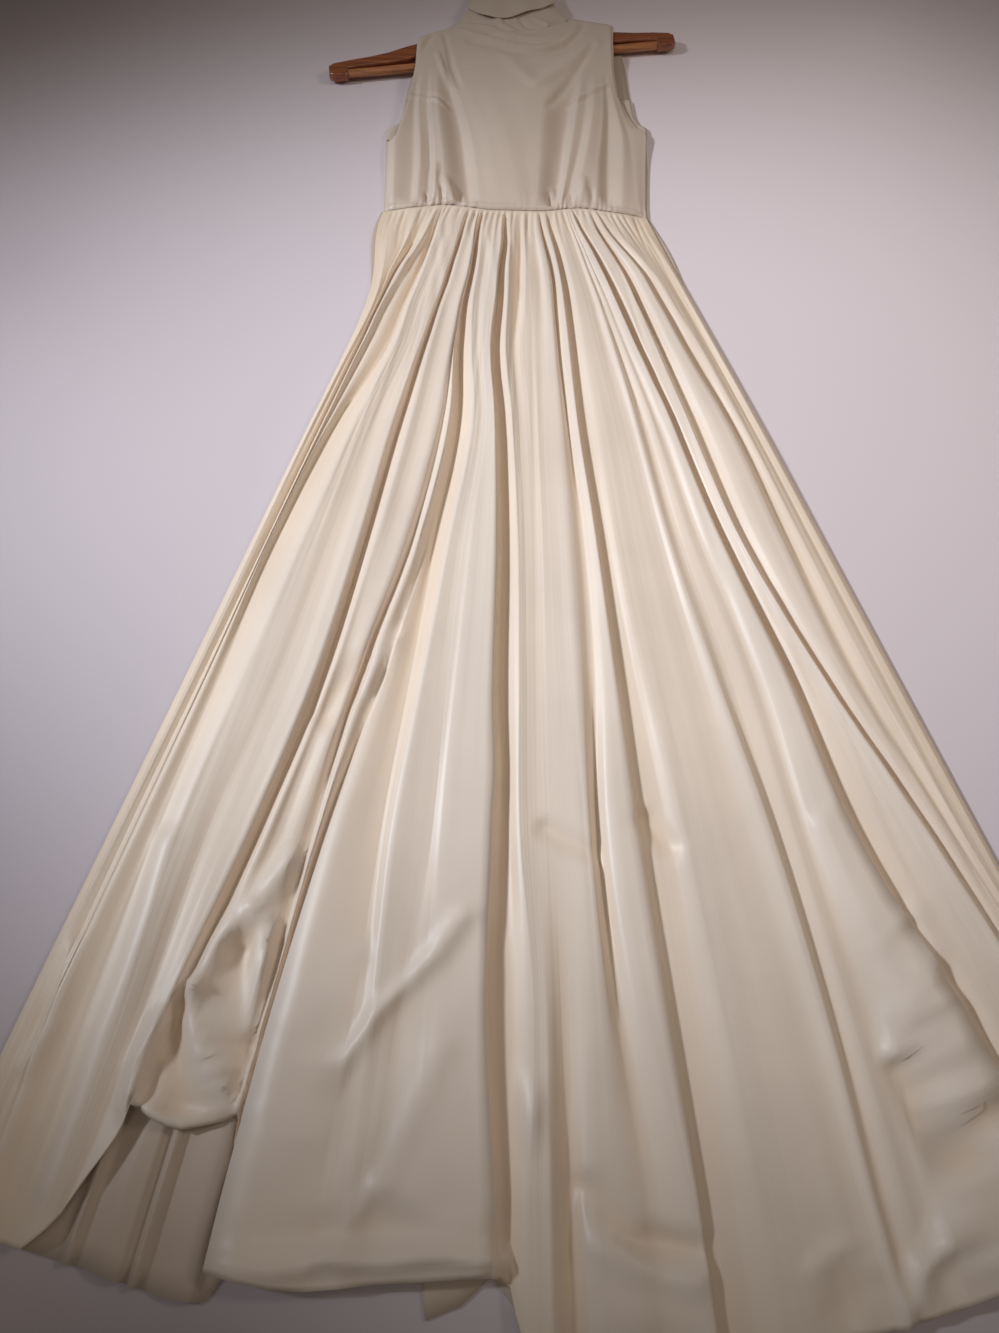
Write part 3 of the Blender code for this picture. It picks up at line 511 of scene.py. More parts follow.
# Crumples of the stand's front along a path in millimetres, half width and height in millimetres
STAND_RIDGES = (
    ("left_crumple", ((-24, 308), (-16, 292), (2, 281)), 6, 3.4),
    ("middle_shade", ((6, 306), (14, 293), (30, 286)), 6, -3.2),
    ("middle_crumple", ((24, 306), (40, 296), (46, 284)), 6, 3.2),
    ("right_crumple", ((44, 281), (62, 290), (80, 302)), 5, 3.0),
    ("right_shade", ((50, 300), (66, 304)), 5, -3.0),
    ("long_crumple", ((-70, 296), (-40, 292), (-20, 284)), 5, 2.2),
    ("long_shade", ((-66, 303), (-44, 299), (-28, 295)), 4, -2.0),
)
ROLL_SPACE = 0.0038
ROLL_LIFT = 0.0025
ROLL_FLARE = 0.001
ROLL_EDGE = 0.3405
ROLL_EDGE_HALF = 0.064
ROLL_EDGE_SLOPE = 0.07
ROLL_EDGE_DROP = 0.024
ROLL_EDGE_POINT = 0.013
ROLL_POINT_X = -0.018
ROLL_POINT_REACH = 0.05
# Columns around, rows of the stand and of the turned layer, and steps of the fold between them
COLLAR_GRID = (240, 40, 30)
FOLD_ROWS = 6
FOLD_ROUND = 0.003
COLLAR_CRUMPLE = 0.0012
ROLL_CRUMPLE = 0.0016

# Painted shade: the warm, darker colour multiplied into the skirt's low folds, and the height at which it
# ends
FOLD_SHADE_TINT = (0.98, 0.91, 0.80)
FOLD_SHADE_TOP = 0.018

# The lights: place and target in metres, cone in degrees, size in metres, colour
LIGHTS = (
    ("window", (-2.8, 0.4, 2.2), (0.0, -0.03, 0), 25.4, 0.22, (0.92, 0.98, 1.06)),
    ("lamp", (1.9, 0.3, 1.7), (0.1, 0.0, 0), 42, 0.3, (1.0, 0.90, 0.80)),
    ("ceiling", (0.1, -0.04, 2.6), (0.1, -0.04, 0), 37, 0.6, (1.0, 0.93, 0.85)),
)
ROOM_COLOUR = (1.0, 0.86, 0.70)
ROOM_STRENGTH = 0.1
SENSOR = 36
FLOOR_REACH = 4.0
FLOOR_LOW = -0.0004

# Painted light and shade on the floor: patches made lighter, for the pool of the lights, or darker, for the
# dim corners and the hem's side; middle and reach in metres, factor for the colour
FLOOR_LIGHT_AND_SHADE = (
    ((0.44, 0.66), 1.1, (1.62, 1.62, 1.6)),
    ((-0.72, 0.85), 0.6, (0.6, 0.6, 0.61)),
    ((-0.6, 0.28), 0.5, (0.85, 0.85, 0.85)),
    ((-0.3, -0.87), 0.45, (0.5, 0.51, 0.54)),
    ((0.45, -0.9), 0.35, (0.6, 0.56, 0.53)),
    ((-0.65, -0.4), 0.6, (0.7, 0.74, 0.8)),
)


def length_property(name, description, default):
    """A size in metres, for the panel."""
    return FloatProperty(name=name, description=description, default=default, unit="LENGTH")


def colour_property(name, description, default):
    """A colour, for the panel."""
    return FloatVectorProperty(name=name, description=description, subtype="COLOR", size=3, default=default)


class DressLook(bpy.types.PropertyGroup):
    """Sizes and colours of the cloth and the hanger."""

    cloth_wall: length_property("Cloth wall", "Thickness of the crepe", 0.001)
    gather_width: FloatProperty(
        name="Gather width", description="Half width of a gather, as a share of the skirt's", default=0.0115
    )
    seam_relief: FloatProperty(
        name="Seam relief", description="Share of the folds' height that shows at the seam", default=0.3
    )
    ripple: length_property("Ripple", "Height of the soft ripples along the folds", 0.0011)
    seed: IntProperty(name="Seed", description="Start of the ripples' random order", default=7)
    bodice_relief: FloatProperty(
        name="Bodice relief", description="Factor for the height of the bodice's folds", default=1.3
    )
    arm_rounding: length_property("Arm rounding", "Radius of the hanger's edges", 0.003)
    cloth_colour: colour_property("Skirt", "Cream of the skirt", (0.82, 0.71, 0.625))
    # Painted shade: the skirt's cream made darker for the bodice, the facings and the collar, where less
    # light falls
    bodice_shaded_colour: colour_property("Bodice", "Duller cream of the bodice", (0.68, 0.56, 0.475))
    # Painted shade: the inside's cream made darker for the back panels that lie under the front
    inside_shaded_colour: colour_property("Inside", "Warmer cream of the inside", (0.62, 0.51, 0.43))
    wood_colour: colour_property("Hanger", "Reddish brown of the arms", (0.30, 0.085, 0.03))
    bar_colour: colour_property("Bar", "Lighter brown of the bar", (0.50, 0.19, 0.07))
    steel_colour: colour_property("Hook", "Colour of the hook's steel", (0.62, 0.61, 0.60))


class DressStage(bpy.types.PropertyGroup):
    """The camera, the floor and the lights."""

    camera_height: length_property("Camera height", "Height over the floor", 0.912)
    camera_x: length_property("Camera X", "Place across, from the waist's middle", -0.020)
    camera_y: length_property("Camera Y", "Place along, from the waist's middle", -0.945)
    camera_tilt: FloatProperty(
        name="Camera tilt",
        description="Angle from straight down",
        default=math.radians(21.5),
        subtype="ANGLE",
    )
    focal_share: FloatProperty(
        name="Focal share", description="Focal length over the frame's height", default=0.75
    )
    floor_colour: colour_property("Floor", "Pale grey of the floor", (0.70, 0.62, 0.665))
    window_power: FloatProperty(
        name="Window power", description="Strength of the cool light from the left", default=455
    )
    ceiling_power: FloatProperty(
        name="Ceiling power", description="Strength of the soft light above", default=56
    )
    lamp_power: FloatProperty(
        name="Lamp power", description="Strength of the warm light from the right", default=55
    )


def look():
    return bpy.context.scene.dress_look


def ease(t):
    """Smooth step from 0 to 1, for numbers and arrays."""
    t = np.clip(t, 0.0, 1.0)
    return t * t * (3 - 2 * t)


def facet(t):
    """From 0 to 1 on a nearly straight line, rounded a little at both ends."""
    return 0.88 * t + 0.12 * ease(t)


def tent(t):
    """A crisp ridge: 1 at 0, and 0 from 1 on."""
    return np.clip(1 - np.abs(t), 0, 1) ** 1.4


def bell(t):
    """A soft bump: 1 at 0, and 0 from 1 on."""
    return ease(1 - np.abs(t))


def straight(table, x, column=1):
    """Value of a table's column at x, on straight lines between its rows."""
    return np.interp(x, [row[0] for row in table], [row[column] for row in table])


def through(xs, ys, x):
    """Value at x on a smooth curve through the points (xs, ys)."""
    xs, ys = np.asarray(xs, float), np.asarray(ys, float)
    x = np.clip(x, xs[0], xs[-1])
    slope = np.gradient(ys, xs)
    i = np.clip(np.searchsorted(xs, x, side="right") - 1, 0, len(xs) - 2)
    span = xs[i + 1] - xs[i]
    t = (x - xs[i]) / span
    start = ys[i] * (1 + 2 * t) * (1 - t) ** 2 + slope[i] * span * t * (1 - t) ** 2
    end = ys[i + 1] * t * t * (3 - 2 * t) + slope[i + 1] * span * t * t * (t - 1)
    return start + end


def ripples(u, v, seed):
    """Soft noise from -1 to 1 at arrays of places."""
    flat = [noise.noise(Vector((a, b, seed))) for a, b in zip(u.ravel(), v.ravel())]
    return np.array(flat).reshape(u.shape)


def near_path(x, y, points):
    """Distance to a path through points, and how far along it, from 0 to 1."""
    nearest = np.full(np.shape(x), np.inf)
    along = np.zeros(np.shape(x))
    steps = len(points) - 1
    for k, (start, end) in enumerate(zip(points, points[1:])):
        dx, dy = end[0] - start[0], end[1] - start[1]
        t = np.clip(((x - start[0]) * dx + (y - start[1]) * dy) / (dx * dx + dy * dy), 0, 1)
        distance = np.hypot(x - start[0] - t * dx, y - start[1] - t * dy)
        along = np.where(distance < nearest, (k + t) / steps, along)
        nearest = np.minimum(nearest, distance)
    return nearest, along


def relief(x, y, table, profile=bell):
    """Height of a table's ridges and dents, each strongest half way along its path."""
    total = np.zeros(np.shape(x))
    for _, points, half_width, height in table:
        distance, along = near_path(x, y, points)
        total += height * MM * profile(distance / half_width) * (0.55 + 0.45 * np.sin(math.pi * along))
    return total


# The skirt's surface


def skirt_left(down):
    """Place across of the left side seam."""
    return SKIRT_TOP_LEFT - LEFT_FLARE * down - HIP_BULGE * np.exp(-((down / HIP_DEPTH) ** 2))


def skirt_right(down):
    """Place across of the right side seam."""
    return SKIRT_TOP_RIGHT + RIGHT_FLARE * down


def waist_line(share, front=True):
    """How far along the waist seam lies, at a share of the way across. Only the front is lifted."""
    bumps = sum(rise * bell((share - at) / reach) for at, reach, rise in WAIST_BUMPS)
    return WAIST_LEFT - WAIST_DROP * share + (bumps if front else 0.0)


def waist_height(share):
    """Height of the front at the waist seam, which sinks towards the side seams."""
    return FRONT_LOW + (WAIST_HEIGHT - FRONT_LOW) * ease(np.minimum(share, 1 - share) / SIDE_ROUND)


def skirt_place(share, down, front=True):
    """Place on the floor of a point of the skirt."""
    x = skirt_left(down) + share * (skirt_right(down) - skirt_left(down))
    y = waist_line(share, front) * (1 - ease(down / WAIST_FADE)) - down
    return x, y


def back_pleats(share, down):
    """Height of the back's open pleats."""
    grown = ease((down / MM - BACK_PLEAT_TOP) / (BACK_PLEAT_FULL - BACK_PLEAT_TOP))
    height = np.zeros_like(share)
    for low, high in zip(BACK_PLEATS, BACK_PLEATS[1:]):
        left = low[1] + (low[2] - low[1]) * grown
        right = high[1] + (high[2] - high[1]) * grown
        part = (share / MM - left) / (right - left)
        inside = (part >= 0) & (part < 1)
        height = np.where(inside, low[3] + (high[3] - low[3]) * ease(part), height)
    return height * grown * MM


def crease_columns(pitch, least):
    """Which crease lies left of each column of a grid, and how far it is to the next one."""
    columns = []
    for i, (row, following) in enumerate(zip(FRONT_CREASES, FRONT_CREASES[1:])):
        count = max(least, round((following[1][0] - row[1][0]) / pitch))
        columns += [(i, k / count) for k in range(count)]
    return columns + [(len(FRONT_CREASES) - 2, 1.0)]


def gather_depth(share, down):
    """Depth of the small gathers below the seam."""
    depth = np.zeros(share.shape)
    for _, top, low, reach, deep in GATHERS:
        at = (top + (low - top) * down / MM / GATHER_AT) * MM
        depth += deep * MM * tent((share - at) / look().gather_width) * ease(1 - down / MM / reach)
    return depth


def skirt_front_grid(columns, rows):
    """Share across, distance down, height and lean of the skirt front at each point of its grid."""
    places = np.array([row[1] for row in FRONT_CREASES], float)
    heights = np.array([row[2] for row in FRONT_CREASES], float)
    leans = np.array([row[3] for row in FRONT_CREASES], float)
    along = np.interp(np.linspace(0, 1, rows), *ROW_SPREAD)
    shape = (rows, len(columns))
    share, down, z, lean = np.zeros(shape), np.zeros(shape), np.zeros(shape), np.zeros(shape)
    for c, (i, part) in enumerate(columns):
        hem_share = places[i, -1] + (places[i + 1, -1] - places[i, -1]) * part
        down[:, c] = along * straight(FRONT_HEM, hem_share) * MM
        level = down[:, c] / MM
        s0, s1 = (through(CREASE_LEVELS, places[k], level) * MM for k in (i, i + 1))
        z0, z1 = (through(HEIGHT_LEVELS, heights[k], level) * MM for k in (i, i + 1))
        share[:, c] = s0 + (s1 - s0) * part
        z[:, c] = z0 + (z1 - z0) * facet(part)
        lean[:, c] = leans[i] + (leans[i + 1] - leans[i]) * part
    for _, across, below, reach, length, move in FRONT_PULLS:
        near = bell((share / MM - across) / reach) * bell((down / MM - below) / length)
        share = share + move * MM * near
    return share, down, z, lean


def skirt_front_surface(columns, rows):
    """Places of the skirt front: an array of rows by columns by 3."""
    settings = look()
    share, down, z, lean = skirt_front_grid(columns, rows)
    inner = ease(np.minimum(share, 1 - share) / SIDE_ROUND)
    relief_here = settings.seam_relief * (z - FOLD_MIDDLE) * inner
    seam = waist_height(share) + relief_here * ease(down / SEAM_START)
    grown = ease(down / FOLD_START)
    x, y = skirt_place(share, down)
    x = x + lean * (z - FRONT_LOW) * grown
    z = seam + (z - seam) * grown - gather_depth(share, down) * ease(down / GATHER_START)
    for _, across, below, half_width, half_length, height in FRONT_PUFFS:
        near = bell((share / MM - across) / half_width) * bell((down / MM - below) / half_length)
        z = z + height * MM * near
    for _, points, half_width, height in FRONT_RIDGES:
        path = [skirt_place(s * MM, d * MM) for s, d in points]
        distance, _ = near_path(x, y, path)
        profile = tent if height > 0 else bell
        z = z + height * MM * profile(distance / (half_width * MM * RIDGE_SPREAD))
    inner = ease(np.minimum(share, 1 - share) / RIPPLE_EDGE) * ease(down / RIPPLE_TOP)
    for across, below, strength, step in FRONT_RIPPLES:
        fine = ripples(share * across, down * below, settings.seed + step)
        z = z + settings.ripple * strength * fine * inner
    lowest = FRONT_LOW + PLEAT_LIFT * back_pleats(share, down)
    return np.dstack((x, y, np.maximum(z, lowest)))


def skirt_back_surface(columns, rows):
    """Places of the skirt's back, flat on the floor but for its open pleats."""
    share, along = np.meshgrid(np.linspace(0, 1, columns), np.linspace(0, 1, rows))
    down = along * straight(BACK_HEM, share / MM) * MM
    peek = BACK_PEEK * bell((down - BACK_PEEK_AT) / BACK_PEEK_REACH) * (2 * share - 1)
    x, y = skirt_place(share, down, front=False)
    return np.dstack((x + peek, y, BACK_TOP + back_pleats(share, down)))


# The bodice's surface


def top_line(x, dip):
    """The bodice's upper edge: shoulders, and a neckline that dips."""
    shoulder = np.maximum(0.0, np.abs(x - NECK_CENTRE) - NECK_HALF) * SHOULDER_SLOPE
    curve = np.sqrt(np.maximum(0.0, 1 - ((x - NECK_CENTRE) / NECK_HALF) ** 2))
    return NECK_LINE + NECK_SLOPE * x - shoulder - dip * curve


def from_hanger_axis(x, y):
    """Distance from the hanger's long axis."""
    return (y - HANGER_CENTRE[1]) * math.cos(HANGER_TILT) - (x - HANGER_CENTRE[0]) * math.sin(HANGER_TILT)


def seam_gathers(share, up):
    """Height of the fine gathers over the seam, unevenly spaced and strongest under the bust."""
    turn = SEAM_GATHERS * share + 0.35 * math.sin(29 * share) + 0.2 * math.sin(83 * share)
    bunch = 0.25 + sum(bell((share - at) / SEAM_BUNCH_REACH) for at in SEAM_BUNCHES)
    fade = np.exp(-((up / SEAM_GATHER_REACH) ** 2))
    return SEAM_GATHER_HEIGHT * math.cos(2 * math.pi * turn) * fade * bunch


def bodice_place(number, up):
    """Place across of a crease of the bodice, or of its side where the number is past the creases."""
    if 1 <= number <= len(BODICE_CREASES):
        return through(BODICE_LEVELS, BODICE_CREASES[number - 1][1], up / MM) * MM
    return straight(FRONT_SIDES, up / MM, 2 if number else 1) * MM


def bodice_fold(number, up):
    """Height of a crease over the lowest cloth, nothing at the sides."""
    if 1 <= number <= len(BODICE_CREASES):
        return through(BODICE_HEIGHT_LEVELS, BODICE_CREASES[number - 1][2], up / MM)
    return np.zeros_like(up)


def bodice_column(number, part, rows):
    """Places of one column of the bodice front, part of the way from a crease to the next."""

    def across(up):
        return bodice_place(number, up) * (1 - part) + bodice_place(number + 1, up) * part

    top_x = across(np.array(SHOULDER_Y))
    share = (across(np.array(0.0)) - skirt_left(0)) / (skirt_right(0) - skirt_left(0))
    top, low = top_line(top_x, NECK_DIP), waist_line(share) + SEAM_GAP
    rise = np.linspace(0, 1, rows - WRAP_ROWS) ** BODICE_ROW_POWER
    wrap = np.linspace(top - SHOULDER_WRAP, top, WRAP_ROWS + 1)[1:]
    y = np.append(low + (top - SHOULDER_WRAP - low) * rise, wrap)
    x = across(y)
    h0, h1 = bodice_fold(number, y), bodice_fold(number + 1, y)
    fold = (h0 + (h1 - h0) * (BODICE_FACET * part + (1 - BODICE_FACET) * ease(part))) * MM
    base = straight(BODICE_RISE, from_hanger_axis(x, y) / MM) * MM
    seam = waist_height(share)
    height = seam + (base + fold * look().bodice_relief - seam) * ease((y - low) / BODICE_FOLD_START)
    height += seam_gathers(share, y - low)
    height -= SEAM_DIP * ease(1 - (y - low) / SEAM_DIP_REACH)
    ridge = SEAM_RIDGE * bell((y - low - SEAM_RIDGE_AT) / SEAM_RIDGE_HALF)
    height += ridge * ease(min(share, 1 - share) / SEAM_RIDGE_EDGE)
    edge = ease((abs(top_x - NECK_CENTRE) - NECK_HALF + WRAP_BLEND) / WRAP_BLEND)
    over = np.clip((y - top + SHOULDER_WRAP) / SHOULDER_WRAP, 0, 1) ** 1.5
    height += (FRONT_LOW + SEAM_GAP - height) * edge * over
    return np.column_stack((x, y, height))


def bodice_front_surface(steps, rows):
    """Places of the bodice front: an array of rows by columns by 3."""
    last = len(BODICE_CREASES) + 1
    columns = [(i, k / steps) for i in range(last) for k in range(steps)] + [(last - 1, 1.0)]
    surface = np.stack([bodice_column(i, part, rows) for i, part in columns], axis=1)
    x, y, z = surface[..., 0], surface[..., 1], surface[..., 2]
    z += relief(x / MM, y / MM, BODICE_RIDGES) + relief(x / MM, y / MM, BODICE_DARTS, tent)
    top = top_line(x, NECK_DIP)
    inner = ease((y - 0.01) / BODICE_RIPPLE_EDGE) * ease((top - y) / BODICE_RIPPLE_EDGE)
    z += BODICE_RIPPLE * ripples(x * 30, y * 12, look().seed + 3) * inner
    return surface


def bodice_back_surface(columns, rows):
    """Places of the bodice's back, flat on the floor."""
    part, along = np.meshgrid(np.linspace(0, 1, columns), np.linspace(0, 1, rows))
    left, right = (straight(BACK_SIDES, SHOULDER_Y / MM, side) * MM for side in (1, 2))
    top = top_line(left + (right - left) * part, BACK_NECK_DIP)
    low = waist_line(part, front=False) + SEAM_GAP
    y = low + along * (top - low)
    x = straight(BACK_SIDES, y / MM, 1) * MM * (1 - part) + straight(BACK_SIDES, y / MM, 2) * MM * part
    return np.dstack((x, y, np.full_like(x, BACK_TOP)))


def facing_surface(right, columns, rows):
    """Places of the end of an armhole facing, along the back's edge."""
    part, along = np.meshgrid(np.linspace(0, 1, columns), np.linspace(0, 1, rows))
    y = FACING_FROM + along * (FACING_TO - FACING_FROM)
    edge = straight(BACK_SIDES, y / MM, 2 if right else 1) * MM
    distance = FACING_WIDTH * (1 - part if right else part)
    x = edge - distance if right else edge + distance
    lift = 0.0012 * np.sin(math.pi * part) * bell((along - 0.4) / 0.6)
    return np.dstack((x, y, BACK_TOP + CAD_WALL + SEAM_GAP + lift))


# The collar's surface


def collar_ring(half_width, low, high, turn):
    """Place across and height on a flattened ring of the collar, turn from 0 to 1."""
    angle = 2 * math.pi * turn
    rise = np.sin(angle)
    flat = np.sign(rise) * np.abs(rise) ** COLLAR_FLATNESS
    return COLLAR_X + half_width * np.cos(angle), (low + high) / 2 + flat * (high - low) / 2


def stand_place(turn, along):
    """A point of the collar's stand, along from the neckline to the fold."""
    front = np.sin(2 * math.pi * turn) > 0
    x0, _ = collar_ring(NECK_HALF, 0, 1, turn)
    base = top_line(x0, np.where(front, NECK_DIP, BACK_NECK_DIP)) + 2 * SEAM_GAP
    y = base + along * (COLLAR_FOLD - base)
    low = CAD_WALL / 2 + STAND_LIFT * ease((y - STAND_LIFT_FROM) / STAND_LIFT_OVER)
    half = straight(STAND_WIDTH, y / MM) * MM
    x, z = collar_ring(half, low, STAND_TOP, turn)
    crumple = COLLAR_CRUMPLE * ripples(x0 * 45, y * 90, look().seed + 20)
    crumple = crumple + relief(x / MM, y / MM, STAND_RIDGES)
    return x, y, z + crumple * np.maximum(0, np.sin(2 * math.pi * turn)) ** 0.5


def roll_place(turn, along):
    """A point of the collar's turned layer, along from the fold to its loose edge."""
    front = np.maximum(0.0, np.sin(2 * math.pi * turn))
    x0, _ = collar_ring(ROLL_EDGE_HALF, 0, 1, turn)
    point = ROLL_EDGE_POINT * bell((x0 - ROLL_POINT_X) / ROLL_POINT_REACH)
    edge = ROLL_EDGE + ROLL_EDGE_SLOPE * x0 - (ROLL_EDGE_DROP + point) * front
    y = COLLAR_FOLD + along * (edge - COLLAR_FOLD)
    wave = COLLAR_CRUMPLE * (1 + np.sin(150 * x0)) * along * front
    wave = wave + ROLL_CRUMPLE * ripples(x0 * 40, y * 30, look().seed + 31) * along * front
    half = straight(STAND_WIDTH, y / MM) * MM + ROLL_SPACE + ROLL_FLARE * along
    x, z = collar_ring(half, CAD_WALL / 2, STAND_TOP + ROLL_LIFT + wave, turn)
    return x, y, z


def collar_surface(around, stand_rows, roll_rows):
    """Places of the collar: up the stand, over the fold and down the turned layer."""
    turn = np.linspace(1, 0, around + 1)[:-1]
    rings = []
    for along in np.linspace(0, 1, stand_rows):
        rings.append(np.column_stack(stand_place(turn, np.full_like(turn, along))))
    inner = rings[-1]
    outer = np.column_stack(roll_place(turn, np.zeros_like(turn)))
    for k in range(1, FOLD_ROWS):
        angle = math.pi * k / FOLD_ROWS
        middle, half = (inner + outer) / 2, (outer - inner) / 2
        ring = middle - half * math.cos(angle)
        ring[:, 1] = COLLAR_FOLD + FOLD_ROUND * math.sin(angle)
        rings.append(ring)
    for along in np.linspace(0, 1, roll_rows):
        rings.append(np.column_stack(roll_place(turn, np.full_like(turn, along))))
    return np.array(rings)


# The modelling tools


def world_shift():
    """From the layout's zero, the middle of the waist seam, to the frame's origin."""
    low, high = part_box("hanger_bar")
    c, s = math.cos(HANGER_TILT), math.sin(HANGER_TILT)
    bar = (HANGER_CENTRE[0] - BAR_DROP * s, HANGER_CENTRE[1] + BAR_DROP * c)
    return np.array([(low[0] + high[0]) / 2 - bar[0], (low[1] + high[1]) / 2 - bar[1], 0.0])


def grid_mesh(name, surface, closed=False):
    """A mesh with a UV map from 0 to 1, from an array of rows by columns by 3, left to right and upwards."""
    rows, columns = surface.shape[:2]
    points = surface.reshape(-1, 3) + world_shift()
    wrap = columns if closed else columns - 1
    faces = []
    for r in range(rows - 1):
        for c in range(wrap):
            a, b = r * columns + c, r * columns + (c + 1) % columns
            faces.append((a, b, b + columns, a + columns))
    mesh = bpy.data.meshes.new(name)
    mesh.from_pydata(points.tolist(), [], faces)
    layer = mesh.uv_layers.new(name="cloth")
    across = np.linspace(0, 1, wrap + 1)
    up = np.linspace(0, 1, rows)
    coordinates = []
    for r in range(rows - 1):
        for c in range(wrap):
            left, right = across[c], across[c + 1]
            coordinates += [left, up[r], right, up[r], right, up[r + 1], left, up[r + 1]]
    layer.data.foreach_set("uv", coordinates)
    mesh.shade_smooth()
    mesh.validate()
    return mesh


def cloth_piece(name, surface, finish, node, closed=False, thickness=None):
    """A wall of cloth with its upper side on a surface, in place of a CAD node."""
    mesh = grid_mesh(name, surface, closed)
    piece = bpy.data.objects.new(name, mesh)
    bpy.context.scene.collection.objects.link(piece)
    mesh.materials.append(finish)
    wall = piece.modifiers.new("wall", "SOLIDIFY")
    wall.thickness = thickness or look().cloth_wall
    wall.offset = 0.0 if closed else -1.0
    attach(piece, "root")
    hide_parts(node)
    return piece


def arms_mesh():
    """The hanger's arms from their outline, with rounded edges."""
    upper = [(x * MM, top * MM) for x, top, _ in HANGER_EDGE]
    lower = [(x * MM, low * MM) for x, _, low in reversed(HANGER_EDGE)]
    half = upper + lower[:-1]
    outline = half + [(-x, y) for x, y in reversed(half[1:])] + [lower[-1]]
    curve = bpy.data.curves.new("hanger_arms", "CURVE")
    curve.dimensions = "2D"
    curve.fill_mode = "BOTH"
    curve.bevel_depth = look().arm_rounding
    curve.bevel_resolution = 4
    curve.offset = -look().arm_rounding
    curve.extrude = HANGER_THICK / 2 - look().arm_rounding
    spline = curve.splines.new("POLY")
    spline.points.add(len(outline) - 1)
    for point, (x, y) in zip(spline.points, outline):
        point.co = (x, y, 0, 1)
    spline.use_cyclic_u = True
    holder = bpy.data.objects.new("hanger_arms_curve", curve)
    mesh = bpy.data.meshes.new_from_object(holder)
    bpy.data.objects.remove(holder)
    shift = world_shift()
    c, s = math.cos(HANGER_TILT), math.sin(HANGER_TILT)
    middle = HANGER_LOW + HANGER_THICK / 2
    for vert in mesh.vertices:
        x, y, z = vert.co
        place = (HANGER_CENTRE[0] + x * c - y * s, HANGER_CENTRE[1] + x * s + y * c, middle + z)
        vert.co = [a + b for a, b in zip(place, shift)]
    mesh.shade_smooth()
    mesh.materials.clear()
    return mesh


# The finishes

# The sockets of a mix node that mixes colours
MIX_FACTOR = 0
MIX_FIRST = 6
MIX_SECOND = 7
MIX_RESULT = 2


def new_material(name):
    """A material, its nodes and links, and its shader."""
    made = bpy.data.materials.new(name)
    made.use_nodes = True
    nodes, links = made.node_tree.nodes, made.node_tree.links
    return made, nodes, links, nodes["Principled BSDF"]


def noise_node(nodes, scale, detail=2):
    """A noise texture."""
    noisy = nodes.new("ShaderNodeTexNoise")
    noisy.inputs["Scale"].default_value = scale
    noisy.inputs["Detail"].default_value = detail
    return noisy


def tone_node(nodes, colour, dark, light, low=0.0, high=1.0):
    """A ramp from a darker to a lighter tone of a colour."""
    tone = nodes.new("ShaderNodeValToRGB")
    first, last = tone.color_ramp.elements
    first.color = (*[v * dark for v in colour], 1)
    last.color = (*[min(1, v * light) for v in colour], 1)
    first.position = low
    last.position = high
    return tone


def mix_node(nodes, kind):
    """A mix of two colours."""
    mixed = nodes.new("ShaderNodeMix")
    mixed.data_type = "RGBA"
    mixed.blend_type = kind
    return mixed


def bump_node(nodes, strength, distance):
    """A bump that leaves the surface's shape as it is."""
    bump = nodes.new("ShaderNodeBump")
    bump.inputs["Strength"].default_value = strength
    bump.inputs["Distance"].default_value = distance
    return bump


def paint_fold_shade(nodes, links, place, shade, fold_shade_colour):
    """The colour of a socket with painted shade: darker and warmer where the cloth lies low."""
    height = nodes.new("ShaderNodeSeparateXYZ")
    depth = nodes.new("ShaderNodeMapRange")
    depth.inputs["From Min"].default_value = FRONT_LOW
    depth.inputs["From Max"].default_value = FOLD_SHADE_TOP
    depth.inputs["To Min"].default_value = 1
    depth.inputs["To Max"].default_value = 0
    shaded_folds = mix_node(nodes, "MULTIPLY")
    shaded_folds.inputs[MIX_SECOND].default_value = (*fold_shade_colour, 1)
    links.new(place.outputs["Object"], height.inputs["Vector"])
    links.new(height.outputs["Z"], depth.inputs["Value"])
    links.new(depth.outputs["Result"], shaded_folds.inputs[MIX_FACTOR])
    links.new(shade, shaded_folds.inputs[MIX_FIRST])
    return shaded_folds.outputs[MIX_RESULT]


def crepe(name, colour, streaks=0.0, fold_shade=None):
    """Smooth double-knit crepe: a fine grain, faint tone changes, a soft sheen, fine creases
    that run along the cloth, and, where it is given, painted shade that darkens and warms the low folds."""
    made, nodes, links, shader = new_material(name)
    place = nodes.new("ShaderNodeTexCoord")
    cloudy = noise_node(nodes, 9, 4)
    tone = tone_node(nodes, colour, 0.95, 1.04, 0.3, 0.7)
    grain = noise_node(nodes, 900, 3)
    grain.inputs["Roughness"].default_value = 0.7
    bump = bump_node(nodes, 0.062, 0.0004)
    links.new(place.outputs["Object"], cloudy.inputs["Vector"])
    links.new(place.outputs["Object"], grain.inputs["Vector"])
    links.new(cloudy.outputs["Fac"], tone.inputs["Fac"])
    shade = tone.outputs["Color"]
    # Painted shade: the low folds made darker and warmer, when its colour is given
    if fold_shade:
        shade = paint_fold_shade(nodes, links, place, shade, fold_shade)
    links.new(shade, shader.inputs["Base Color"])
    links.new(grain.outputs["Fac"], bump.inputs["Height"])
    if streaks:
        stretched = nodes.new("ShaderNodeMapping")
        stretched.inputs["Scale"].default_value = (170, 1.6, 1)
        lines = noise_node(nodes, 1)
        ridges = bump_node(nodes, streaks, 0.0012)
        links.new(place.outputs["UV"], stretched.inputs["Vector"])
        links.new(stretched.outputs["Vector"], lines.inputs["Vector"])
        links.new(lines.outputs["Fac"], ridges.inputs["Height"])
        links.new(ridges.outputs["Normal"], bump.inputs["Normal"])
    links.new(bump.outputs["Normal"], shader.inputs["Normal"])
    shader.inputs["Roughness"].default_value = 0.43
    shader.inputs["Specular IOR Level"].default_value = 0.45
    shader.inputs["Sheen Weight"].default_value = 0.12
    shader.inputs["Sheen Roughness"].default_value = 0.4
    return made


